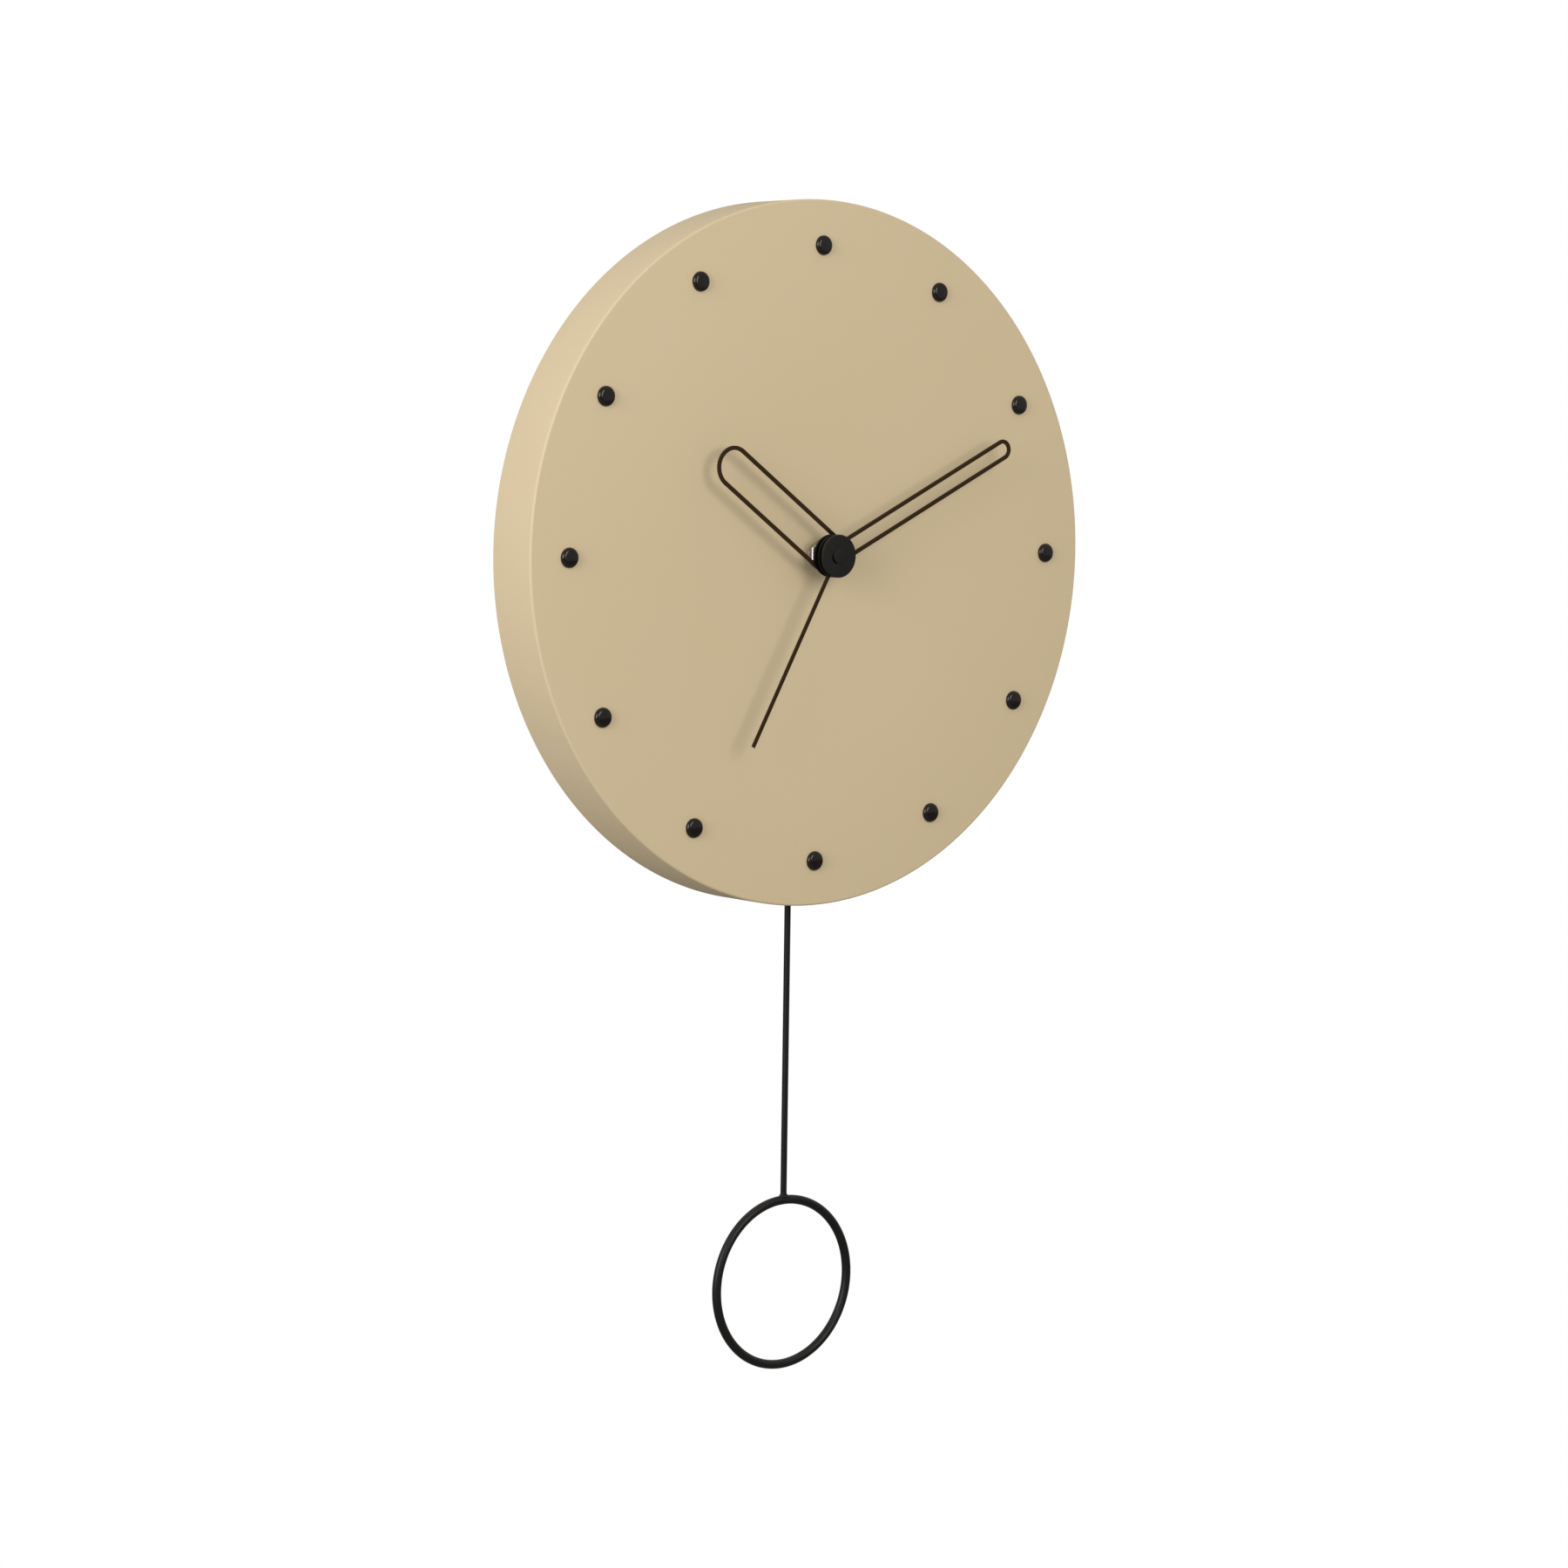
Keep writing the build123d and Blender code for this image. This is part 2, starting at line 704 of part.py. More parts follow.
with BuildPart() as coil_core:
    with BuildSketch(from_wall(core_rear)):
        strip_between(stator_places[0], stator_places[1], stator_arm)
        with Locations(*stator_places):
            Circle(stator_pin, mode=Mode.SUBTRACT)
    extrude(amount=core_sheet)
coil_core.part.label = "coil_core"
export_step(coil_core.part, "parts/coil_core.step")

with BuildPart() as motor_coil:
    with BuildSketch(level(core_low + coil_margin)):
        with Locations((core_x, -(core_rear + core_front) / 2)):
            RectangleRounded(coil_width, coil_thickness, coil_corner)
            Rectangle(stator_arm, core_sheet, mode=Mode.SUBTRACT)
    extrude(amount=core_high - core_low - 2 * coil_margin)
motor_coil.part.label = "motor_coil"
export_step(motor_coil.part, "parts/motor_coil.step")

with BuildPart() as rotor_pinion:
    with BuildSketch(from_wall(rotor_layer)):
        with Locations(rotor_arbor):
            gear(rotor_teeth, rotor_module, rotor_turn)
    extrude(amount=fast_wheel)
    with BuildSketch(from_wall(rotor_layer)):
        with Locations(rotor_arbor):
            Circle(magnet_bore)
    extrude(amount=minute_layer - rotor_layer + slow_wheel)
    with BuildSketch(from_wall(plate_front + axial)):
        with Locations(rotor_arbor):
            Circle(arbor)
    extrude(amount=shell_floor - plate_front - 2 * axial)
    with BuildSketch(from_wall(plate_rear)):
        with Locations(rotor_arbor):
            Circle(pivot)
    extrude(amount=shell_floor - plate_rear + pivot_depth - axial)
rotor_pinion.part.label = "rotor_pinion"
export_step(rotor_pinion.part, "parts/rotor_pinion.step")

with BuildPart() as rotor_magnet:
    with BuildSketch(from_wall(third_layer - magnet_overhang)):
        with Locations(rotor_arbor):
            Circle(magnet_radius)
            Circle(magnet_bore, mode=Mode.SUBTRACT)
    extrude(amount=slow_wheel + 2 * magnet_overhang)
rotor_magnet.part.label = "rotor_magnet"
export_step(rotor_magnet.part, "parts/rotor_magnet.step")

with BuildPart() as circuit_board:
    with BuildSketch(from_wall(shell_floor - board_pad - board_thickness)):
        block(board_left, board_right, board_low, board_high)
    extrude(amount=board_thickness)
circuit_board.part.label = "circuit_board"
export_step(circuit_board.part, "parts/circuit_board.step")

board_face = shell_floor - board_pad - board_thickness
with BuildPart() as quartz_crystal:
    with BuildSketch(level(crystal_place[1] - crystal_length / 2)):
        with Locations((crystal_place[0], -board_face + crystal_radius)):
            Circle(crystal_radius)
    extrude(amount=crystal_length)
quartz_crystal.part.label = "quartz_crystal"
export_step(quartz_crystal.part, "parts/quartz_crystal.step")

with BuildPart() as clock_chip:
    with BuildSketch(from_wall(board_face - chip_height)):
        with Locations(chip_place):
            Circle(chip_radius)
    extrude(amount=chip_height)
    chamfer(edges().filter_by(GeomType.CIRCLE).group_by(Axis.Y)[-1], chip_edge)
clock_chip.part.label = "clock_chip"
export_step(clock_chip.part, "parts/clock_chip.step")

with BuildPart() as pendulum_coil:
    with BuildSketch(from_wall(rotor_layer)):
        with Locations((0, drive_coil_z)):
            Circle(drive_coil_radius)
            Circle(drive_coil_bore, mode=Mode.SUBTRACT)
    extrude(amount=drive_coil_length)
pendulum_coil.part.label = "pendulum_coil"
export_step(pendulum_coil.part, "parts/pendulum_coil.step")

# Gear train, each wheel moulded with its pinion and arbor
with BuildPart() as second_wheel:
    with BuildSketch(from_wall(second_layer)):
        gear(second_teeth, second_module, second_turn)
        web_holes_in(second_teeth, second_module)
    extrude(amount=fast_wheel)
    with BuildSketch(from_wall(third_layer)):
        gear(second_pinion_teeth, third_module, second_pinion_turn)
    extrude(amount=slow_wheel)
    with BuildSketch(from_wall(plate_front + axial)):
        Circle(second_shaft)
    extrude(amount=second_blade_rear - plate_front - axial)
    with BuildSketch(from_wall(plate_rear)):
        Circle(second_pin)
    extrude(amount=second_blade_front - plate_rear)
second_wheel.part.label = "second_wheel"
export_step(second_wheel.part, "parts/second_wheel.step")

with BuildPart() as intermediate_wheel:
    with BuildSketch(from_wall(rotor_layer)):
        with Locations(intermediate_arbor):
            gear(intermediate_teeth, rotor_module, intermediate_turn)
            web_holes_in(intermediate_teeth, rotor_module)
    extrude(amount=fast_wheel)
    with BuildSketch(from_wall(rotor_layer)):
        with Locations(intermediate_arbor):
            gear(intermediate_pinion_teeth, second_module, intermediate_pinion_turn)
    extrude(amount=second_layer - rotor_layer + fast_wheel)
    with BuildSketch(from_wall(plate_front + axial)):
        with Locations(intermediate_arbor):
            Circle(arbor)
    extrude(amount=shell_floor - plate_front - 2 * axial)
    with BuildSketch(from_wall(plate_rear)):
        with Locations(intermediate_arbor):
            Circle(pivot)
    extrude(amount=shell_floor - plate_rear + pivot_depth - axial)
intermediate_wheel.part.label = "intermediate_wheel"
export_step(intermediate_wheel.part, "parts/intermediate_wheel.step")

with BuildPart() as third_wheel:
    with BuildSketch(from_wall(third_layer)):
        with Locations(third_arbor):
            gear(third_teeth, third_module, third_turn)
            web_holes_in(third_teeth, third_module)
    extrude(amount=slow_wheel)
    with BuildSketch(from_wall(third_layer)):
        with Locations(third_arbor):
            gear(third_pinion_teeth, minute_module, third_pinion_turn)
    extrude(amount=minute_layer - third_layer + slow_wheel)
    with BuildSketch(from_wall(plate_front + axial)):
        with Locations(third_arbor):
            Circle(arbor)
    extrude(amount=shell_floor - plate_front - 2 * axial)
    with BuildSketch(from_wall(plate_rear)):
        with Locations(third_arbor):
            Circle(pivot)
    extrude(amount=shell_floor - plate_rear + pivot_depth - axial)
third_wheel.part.label = "third_wheel"
export_step(third_wheel.part, "parts/third_wheel.step")

with BuildPart() as minute_wheel:
    with BuildSketch(from_wall(minute_layer)):
        gear(minute_teeth, minute_module, minute_turn)
        web_holes_in(minute_teeth, minute_module)
    extrude(amount=slow_wheel)
    with BuildSketch(from_wall(minute_layer)):
        gear(cannon_teeth, work_module, cannon_turn)
    extrude(amount=work_layer - minute_layer + slow_wheel)
    with BuildSketch(from_wall(work_layer + slow_wheel)):
        Circle(minute_tube)
    extrude(amount=minute_collet_rear - work_layer - slow_wheel)
    with BuildSketch(from_wall(minute_collet_rear)):
        Circle(minute_seat)
    extrude(amount=minute_blade_front - minute_collet_rear)
    with BuildSketch(from_wall(minute_layer)):
        Circle(second_shaft + running)
    extrude(amount=minute_blade_front - minute_layer, mode=Mode.SUBTRACT)
minute_wheel.part.label = "minute_wheel"
export_step(minute_wheel.part, "parts/minute_wheel.step")

with BuildPart() as minute_work_wheel:
    with BuildSketch(from_wall(work_layer)):
        with Locations(work_arbor):
            gear(work_teeth, work_module, work_turn)
    extrude(amount=slow_wheel)
    with BuildSketch(from_wall(work_layer)):
        with Locations(work_arbor):
            gear(work_pinion_teeth, hour_module, work_pinion_turn)
    extrude(amount=hour_layer - work_layer + slow_wheel)
    with BuildSketch(from_wall(work_layer)):
        with Locations(work_arbor):
            Circle(work_post + running)
    extrude(amount=hour_layer - work_layer + slow_wheel, mode=Mode.SUBTRACT)
minute_work_wheel.part.label = "minute_work_wheel"
export_step(minute_work_wheel.part, "parts/minute_work_wheel.step")

with BuildPart() as hour_wheel:
    with BuildSketch(from_wall(hour_layer)):
        gear(hour_teeth, hour_module, hour_turn)
    extrude(amount=slow_wheel)
    with BuildSketch(from_wall(hour_layer)):
        Circle(hour_tube)
    extrude(amount=hour_collet_rear - hour_layer)
    with BuildSketch(from_wall(hour_collet_rear)):
        Circle(hour_seat)
    extrude(amount=hour_blade_front - hour_collet_rear)
    with BuildSketch(from_wall(hour_layer)):
        Circle(minute_tube + running)
    extrude(amount=hour_blade_front - hour_layer, mode=Mode.SUBTRACT)
hour_wheel.part.label = "hour_wheel"
export_step(hour_wheel.part, "parts/hour_wheel.step")

with BuildPart() as setting_stem:
    with BuildSketch(from_wall(work_layer)):
        with Locations(setting_arbor):
            gear(cannon_teeth, work_module, setting_turn)
    extrude(amount=slow_wheel)
    with BuildSketch(from_wall(wall_gap + knob_socket)):
        with Locations(setting_arbor):
            Circle(setting_shaft)
    extrude(amount=shell_floor - axial - wall_gap - knob_socket)
    with BuildSketch(from_wall(shell_floor - axial)):
        with Locations(setting_arbor):
            Circle(setting_pivot)
    extrude(amount=pivot_depth)
setting_stem.part.label = "setting_stem"
export_step(setting_stem.part, "parts/setting_stem.step")

with BuildPart() as setting_knob:
    with BuildSketch(from_wall(wall_gap)):
        with Locations(setting_arbor):
            Circle(knob_radius)
            with PolarLocations(knob_radius, knob_flutes):
                Circle(knob_flute_radius, mode=Mode.SUBTRACT)
    extrude(amount=knob_height)
    with BuildSketch(from_wall(wall_gap + knob_socket)):
        with Locations(setting_arbor):
            Circle(setting_shaft)
    extrude(amount=knob_height - knob_socket, mode=Mode.SUBTRACT)
setting_knob.part.label = "setting_knob"
export_step(setting_knob.part, "parts/setting_knob.step")

# Hands, drawn along their own direction from the dial centre
hour_way = 90.0 - hour_angle
minute_way = 90.0 - minute_angle
second_way = 90.0 - second_angle
with BuildPart() as hour_hand:
    hour_tip = along(centre_arbor, hour_reach - hour_width / 2, hour_way)
    with BuildSketch(from_wall(hour_blade_rear)):
        strip_between(centre_arbor, hour_tip, hour_width)
        strip_between(centre_arbor, hour_tip, hour_width - 2 * hand_strip, Mode.SUBTRACT)
        Circle(hub_radius)
        Circle(hour_seat, mode=Mode.SUBTRACT)
    extrude(amount=blade)
    with BuildSketch(from_wall(hour_collet_rear)):
        Circle(hour_seat + collet_wall)
        Circle(hour_seat, mode=Mode.SUBTRACT)
    extrude(amount=hour_collet)
hour_hand.part.label = "hour_hand"
export_step(hour_hand.part, "parts/hour_hand.step")

with BuildPart() as minute_hand:
    minute_tip = along(centre_arbor, minute_reach - minute_width / 2, minute_way)
    with BuildSketch(from_wall(minute_blade_rear)):
        strip_between(centre_arbor, minute_tip, minute_width)
        strip_between(centre_arbor, minute_tip, minute_width - 2 * hand_strip, Mode.SUBTRACT)
        Circle(hub_radius)
        Circle(minute_seat, mode=Mode.SUBTRACT)
    extrude(amount=blade)
    with BuildSketch(from_wall(minute_collet_rear)):
        Circle(minute_seat + collet_wall)
        Circle(minute_seat, mode=Mode.SUBTRACT)
    extrude(amount=minute_collet)
minute_hand.part.label = "minute_hand"
export_step(minute_hand.part, "parts/minute_hand.step")

with BuildPart() as second_hand:
    with BuildSketch(from_wall(second_blade_rear)):
        with Locations(along(centre_arbor, second_reach / 2, second_way)):
            Rectangle(second_reach, hand_strip, rotation=second_way)
        Circle(second_hub_radius)
        Circle(second_pin, mode=Mode.SUBTRACT)
    extrude(amount=second_blade)
second_hand.part.label = "second_hand"
export_step(second_hand.part, "parts/second_hand.step")

with BuildPart() as hub_cap:
    with BuildSketch(from_wall(second_blade_front)):
        Circle(hub_radius)
    extrude(amount=cap_height)
    fillet(edges().filter_by(GeomType.CIRCLE).group_by(Axis.Y)[0], cap_edge_radius)
    with BuildSketch(from_wall(second_blade_front + cap_height)):
        Circle(cap_pip_radius)
    extrude(amount=cap_pip_height)
hub_cap.part.label = "hub_cap"
export_step(hub_cap.part, "parts/hub_cap.step")

# Battery and its two spring contacts
cell_rear_end = Plane(origin=(-cell_length / 2, -cell_height, dial_z + cell_z), z_dir=(1, 0, 0))
with BuildPart() as battery_cell:
    with BuildSketch(cell_rear_end):
        Circle(cell_radius)
    extrude(amount=cell_length - nub_length)
    chamfer(edges().filter_by(GeomType.CIRCLE), cell_edge)
    with BuildSketch(cell_rear_end.offset(cell_length - nub_length)):
        Circle(nub_radius)
    extrude(amount=nub_length)
battery_cell.part.label = "battery_cell"
export_step(battery_cell.part, "parts/battery_cell.step")


def contact_line(side):
    # middle line of the bent leaf, from its wall tab round the fold to the cell and back
    wall_line = inner_half - leaf / 2
    leaf_span = cell_radius - leaf_inset
    flat_line = cell_length / 2 + running + leaf / 2
    return (
        (side * wall_line, cell_z - leaf_span),
        (side * wall_line, cell_z + leaf_span),
        (side * (wall_line - leaf_fold), cell_z + leaf_span),
        (side * flat_line, cell_z + leaf_flat_half),
        (side * flat_line, cell_z - leaf_flat_half),
        (side * (flat_line + leaf_tip_back), cell_z - leaf_tip_drop),
    )


leaf_rear = cell_height - cell_radius + leaf_margin
leaf_depth = 2 * cell_radius - 2 * leaf_margin
with BuildPart() as battery_contact_positive:
    with BuildSketch(from_wall(leaf_rear)):
        with BuildLine():
            Polyline(*contact_line(1))
        trace(line_width=leaf)
    extrude(amount=leaf_depth)
battery_contact_positive.part.label = "battery_contact_positive"
export_step(battery_contact_positive.part, "parts/battery_contact_positive.step")

with BuildPart() as battery_contact_negative:
    with BuildSketch(from_wall(leaf_rear)):
        with BuildLine():
            Polyline(*contact_line(-1))
        trace(line_width=leaf)
    extrude(amount=leaf_depth)
battery_contact_negative.part.label = "battery_contact_negative"
export_step(battery_contact_negative.part, "parts/battery_contact_negative.step")

# Pendulum
with BuildPart() as arm_pivot_pin:
    with BuildSketch(from_wall(shell_rear - pin_socket)):
        with Locations((0, pivot_z)):
            Circle(pivot_pin)
    extrude(amount=plate_front - shell_rear + pin_socket)
arm_pivot_pin.part.label = "arm_pivot_pin"
export_step(arm_pivot_pin.part, "parts/arm_pivot_pin.step")

with BuildPart() as pendulum_arm:
    with BuildSketch(from_wall(arm_rear)):
        strip_between((0, pivot_z), (0, arm_end_z), 2 * arm_half)
        with Locations((0, pivot_z)):
            Circle(arm_boss)
        with Locations((0, cup_z)):
            Circle(cup_radius)
        with Locations((0, pivot_z)):
            Circle(pivot_pin + running, mode=Mode.SUBTRACT)
        with Locations((0, arm_end_z)):
            Circle(rod_radius, mode=Mode.SUBTRACT)
    extrude(amount=arm_thickness)
    with BuildSketch(from_wall(arm_front - bob_magnet_depth)):
        with Locations((0, cup_z)):
            Circle(bob_magnet_radius)
    extrude(amount=bob_magnet_depth, mode=Mode.SUBTRACT)
pendulum_arm.part.label = "pendulum_arm"
export_step(pendulum_arm.part, "parts/pendulum_arm.step")

with BuildPart() as pendulum_magnet:
    with BuildSketch(from_wall(arm_front - bob_magnet_depth)):
        with Locations((0, cup_z)):
            Circle(bob_magnet_radius)
    extrude(amount=bob_magnet_depth)
pendulum_magnet.part.label = "pendulum_magnet"
export_step(pendulum_magnet.part, "parts/pendulum_magnet.step")

hook_y = -(arm_rear - rod_bend - axial)
hook_z = dial_z + arm_end_z
with BuildPart() as pendulum_rod:
    with BuildLine(Plane.YZ) as rod_line:
        FilletPolyline(
            (-arm_front - rod_front_end, hook_z),
            (hook_y, hook_z),
            (hook_y, hook_z - rod_bend_start),
            (-rod_height, hook_z - rod_bend_start - rod_bend_length),
            (-rod_height, dial_z + ring_z + ring_radius),
            radius=rod_bend,
        )
    with BuildSketch(Plane(origin=rod_line.line @ 0, z_dir=rod_line.line % 0)):
        Circle(rod_radius)
    sweep()
    with BuildSketch(Plane(origin=(0, -rod_height, dial_z), x_dir=(1, 0, 0), z_dir=(0, -1, 0))):
        with BuildLine():
            Polyline(
                (0, ring_z + ring_radius),
                (weld_radius, ring_z + ring_radius),
                (rod_radius, ring_z + ring_radius + ring_wire + weld_height),
                (0, ring_z + ring_radius + ring_wire + weld_height),
                close=True,
            )
        make_face()
    revolve(axis=Axis((0, -rod_height, 0), (0, 0, 1)))
    with Locations(Location((0, -rod_height, dial_z + ring_z), (90, 0, 0))):
        Torus(ring_radius, ring_wire, mode=Mode.SUBTRACT)
pendulum_rod.part.label = "pendulum_rod"
export_step(pendulum_rod.part, "parts/pendulum_rod.step")

with BuildPart() as pendulum_ring:
    with Locations(Location((0, -rod_height, dial_z + ring_z), (90, 0, 0))):
        Torus(ring_radius, ring_wire)
pendulum_ring.part.label = "pendulum_ring"
export_step(pendulum_ring.part, "parts/pendulum_ring.step")
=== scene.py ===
import json
import math

import bmesh
import bpy
from mathutils import Matrix, Vector, noise


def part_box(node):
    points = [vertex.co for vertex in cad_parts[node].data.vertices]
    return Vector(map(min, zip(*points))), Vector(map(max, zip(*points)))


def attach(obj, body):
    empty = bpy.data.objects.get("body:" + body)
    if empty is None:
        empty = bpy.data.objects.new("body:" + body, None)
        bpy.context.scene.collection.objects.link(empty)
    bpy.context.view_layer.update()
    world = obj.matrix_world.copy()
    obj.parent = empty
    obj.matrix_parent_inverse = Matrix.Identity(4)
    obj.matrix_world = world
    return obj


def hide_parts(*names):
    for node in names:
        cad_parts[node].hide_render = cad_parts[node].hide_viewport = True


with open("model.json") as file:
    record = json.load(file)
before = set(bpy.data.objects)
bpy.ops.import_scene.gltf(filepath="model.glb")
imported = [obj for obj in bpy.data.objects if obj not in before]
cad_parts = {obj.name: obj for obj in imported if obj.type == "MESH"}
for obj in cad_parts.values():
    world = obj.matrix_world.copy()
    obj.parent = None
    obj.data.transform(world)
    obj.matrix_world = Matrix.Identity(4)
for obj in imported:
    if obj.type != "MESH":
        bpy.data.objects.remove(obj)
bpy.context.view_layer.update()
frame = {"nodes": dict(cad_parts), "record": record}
nodes = frame["nodes"]
print("frame loaded with", len(nodes), "nodes")

# the dial's centre and the case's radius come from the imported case
caseLow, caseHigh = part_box("case_pan")
dialZ = (caseLow.z + caseHigh.z) / 2
caseRadius = (caseHigh.x - caseLow.x) / 2 * 1000


def mm(size):
    return size * 0.001


def fromWall(spot=(0.0, 0.0)):
    # across, up and out of the wall, in the frame's metres
    across = mm(spot[0])
    up = dialZ + mm(spot[1])
    return Matrix(((1, 0, 0, across), (0, 0, -1, 0), (0, 1, 0, up), (0, 0, 0, 1)))


# mesh helpers, sizes in millimetres and angles in degrees
meshing = {"weld": 0.0005, "pole": 0.000001, "bevelSteps": 3}


def polarPoint(centre, radius, angle):
    turn = math.radians(angle)
    return centre[0] + radius * math.cos(turn), centre[1] + radius * math.sin(turn)


def arcPoints(centre, radius, start, end, steps):
    return [polarPoint(centre, radius, start + (end - start) * step / steps) for step in range(steps + 1)]


def circlePoints(centre, radius, count):
    return arcPoints(centre, radius, 0, 360 - 360 / count, count - 1)


def roundCorners(corners, closed=False, steps=5):
    # each corner is across, up and its rounding radius
    points = []
    count = len(corners)
    for index, (u, v, radius) in enumerate(corners):
        ends = not closed and index in (0, count - 1)
        if radius <= 0 or ends:
            points.append((u, v))
            continue
        here = Vector((u, v))
        back = (Vector(corners[index - 1][:2]) - here).normalized()
        ahead = (Vector(corners[(index + 1) % count][:2]) - here).normalized()
        half = back.angle(ahead) / 2
        reach = radius / math.tan(half)
        middle = here + (back + ahead).normalized() * (radius / math.sin(half))
        first = here + back * reach - middle
        last = here + ahead * reach - middle
        sweep = first.angle_signed(last)
        for step in range(steps + 1):
            spoke = first.copy()
            spoke.rotate(Matrix.Rotation(-sweep * step / steps, 2))
            points.append(tuple(middle + spoke))
    return points


def shadeByAngle(mesh, sharp):
    for face in mesh.polygons:
        face.use_smooth = True
    mesh.set_sharp_from_angle(angle=math.radians(sharp))


def cleanMesh(work, sharp):
    bmesh.ops.remove_doubles(work, verts=work.verts, dist=mm(meshing["weld"]))
    bmesh.ops.recalc_face_normals(work, faces=work.faces)
    mesh = bpy.data.meshes.new("shape")
    work.to_mesh(mesh)
    work.free()
    shadeByAngle(mesh, sharp)
    return mesh


def bridgeRings(work, rings, closed):
    # four-sided faces between rings, three-sided where a ring is one point
    pairs = list(zip(rings, rings[1:]))
    if closed:
        pairs.append((rings[-1], rings[0]))
    for lower, upper in pairs:
        count = max(len(lower), len(upper))
        for step in range(count):
            ahead = (step + 1) % count
            if len(lower) == 1:
                work.faces.new((lower[0], upper[step], upper[ahead]))
            elif len(upper) == 1:
                work.faces.new((lower[step], lower[ahead], upper[0]))
            else:
                work.faces.new((lower[step], lower[ahead], upper[ahead], upper[step]))


def plainRow(row, angle):
    return row


def addLathe(work, rows, place, segments, closed, shape=plainRow):
    # shape makes a row into its radius and its height along the axis at each angle
    rings = []
    for row in rows:
        ring = []
        for step in range(segments):
            angle = 2 * math.pi * step / segments
            radius, height = shape(row, angle)
            spot = Vector((mm(radius) * math.cos(angle), mm(radius) * math.sin(angle), mm(height)))
            ring.append(work.verts.new(place @ spot))
            if radius < meshing["pole"]:
                break
        rings.append(ring)
    bridgeRings(work, rings, closed)


def latheMesh(rows, place, segments=96, closed=False, sharp=40, shape=plainRow):
    work = bmesh.new()
    addLathe(work, rows, place, segments, closed, shape)
    return cleanMesh(work, sharp)


def washerMesh(bore, outside, low, high, edges, segments=96):
    # a flat ring on the dial's axis, with the rounding of its low corners first
    spots = ((bore, low), (outside, low), (outside, high), (bore, high))
    corners = [(u, v, edge) for (u, v), edge in zip(spots, edges)]
    return latheMesh(roundCorners(corners, closed=True, steps=3), fromWall(), segments, closed=True)


def plateMesh(loops, rear, front, edge):
    # a flat stamping with rounded edges, its holes given as more loops
    curve = bpy.data.curves.new("plate", "CURVE")
    curve.dimensions = "2D"
    curve.fill_mode = "BOTH"
    curve.extrude = mm((front - rear) / 2 - edge)
    curve.bevel_depth = mm(edge)
    curve.bevel_resolution = meshing["bevelSteps"]
    curve.offset = -mm(edge)
    for loop in loops:
        spline = curve.splines.new("POLY")
        spline.points.add(len(loop) - 1)
        for point, (u, v) in zip(spline.points, loop):
            point.co = (mm(u), mm(v), 0, 1)
        spline.use_cyclic_u = True
    holder = bpy.data.objects.new("plate", curve)
    mesh = bpy.data.meshes.new_from_object(holder)
    bpy.data.objects.remove(holder)
    bpy.data.curves.remove(curve)
    mesh.transform(fromWall() @ Matrix.Translation((0, 0, mm((front + rear) / 2))))
    return joinMeshes([mesh], sharp=50)


def tubeMesh(path, radii, segments=28, sharp=50):
    # a round wire along points in metres, with its radius at each point
    work = bmesh.new()
    rings = []
    side = None
    for index, (point, radius) in enumerate(zip(path, radii)):
        run = path[min(index + 1, len(path) - 1)] - path[max(index - 1, 0)]
        run.normalize()
        if side is None:
            side = run.orthogonal().normalized()
        side = (side - run * side.dot(run)).normalized()
        other = run.cross(side)
        ring = []
        for step in range(segments):
            angle = 2 * math.pi * step / segments
            spoke = side * math.cos(angle) + other * math.sin(angle)
            ring.append(work.verts.new(point + spoke * mm(radius)))
        rings.append(ring)
    bridgeRings(work, rings, closed=False)
    work.faces.new(rings[0])
    work.faces.new(rings[-1])
    return cleanMesh(work, sharp)


def joinMeshes(meshes, sharp):
    work = bmesh.new()
    for mesh in meshes:
        work.from_mesh(mesh)
        bpy.data.meshes.remove(mesh)
    return cleanMesh(work, sharp)


def applyModifiers(piece):
    bpy.context.view_layer.update()
    view = bpy.context.evaluated_depsgraph_get()
    mesh = bpy.data.meshes.new_from_object(piece.evaluated_get(view))
    piece.modifiers.clear()
    piece.data = mesh


def linkObject(name, data):
    item = bpy.data.objects.new(name, data)
    bpy.context.scene.collection.objects.link(item)
    return item


def cutAway(piece, cutterMesh):
    cutter = linkObject("cutter", cutterMesh)
    step = piece.modifiers.new("cut", "BOOLEAN")
    step.operation = "DIFFERENCE"
    step.solver = "EXACT"
    step.object = cutter
    applyModifiers(piece)
    bpy.data.objects.remove(cutter)
    bpy.data.meshes.remove(cutterMesh)


def addPiece(name, mesh, body, slot, replaced=None):
    mesh.name = name
    piece = linkObject(name, mesh)
    mesh.materials.clear()
    mesh.materials.append(finishes[slot])
    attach(piece, body)
    if replaced:
        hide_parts(replaced)
    return piece


# shader groups, each placed in several finishes
def startGroup(name, inputs):
    group = bpy.data.node_groups.new(name, "ShaderNodeTree")
    for title, value in inputs.items():
        socket = group.interface.new_socket(name=title, in_out="INPUT", socket_type="NodeSocketFloat")
        socket.default_value = value
    return group, group.nodes.new("NodeGroupInput").outputs


def endGroup(group, outputs):
    for title in outputs:
        group.interface.new_socket(name=title, in_out="OUTPUT", socket_type="NodeSocketFloat")
    end = group.nodes.new("NodeGroupOutput")
    for title, value in outputs.items():
        group.links.new(value, end.inputs[title])
    return group


def feed(tree, socket, value):
    # the output of another node is linked, and a colour or a number is set
    if isinstance(value, bpy.types.NodeSocket):
        tree.links.new(value, socket)
    elif isinstance(value, tuple):
        socket.default_value = (*value, 1.0)
    else:
        socket.default_value = value


def addNode(tree, kind, **settings):
    # a setting that isn't the name of an input is the node's own
    node = tree.nodes.new(kind)
    for title, value in settings.items():
        inputName = title.replace("_", " ")
        if inputName in node.inputs:
            feed(tree, node.inputs[inputName], value)
        else:
            setattr(node, title, value)
    return node


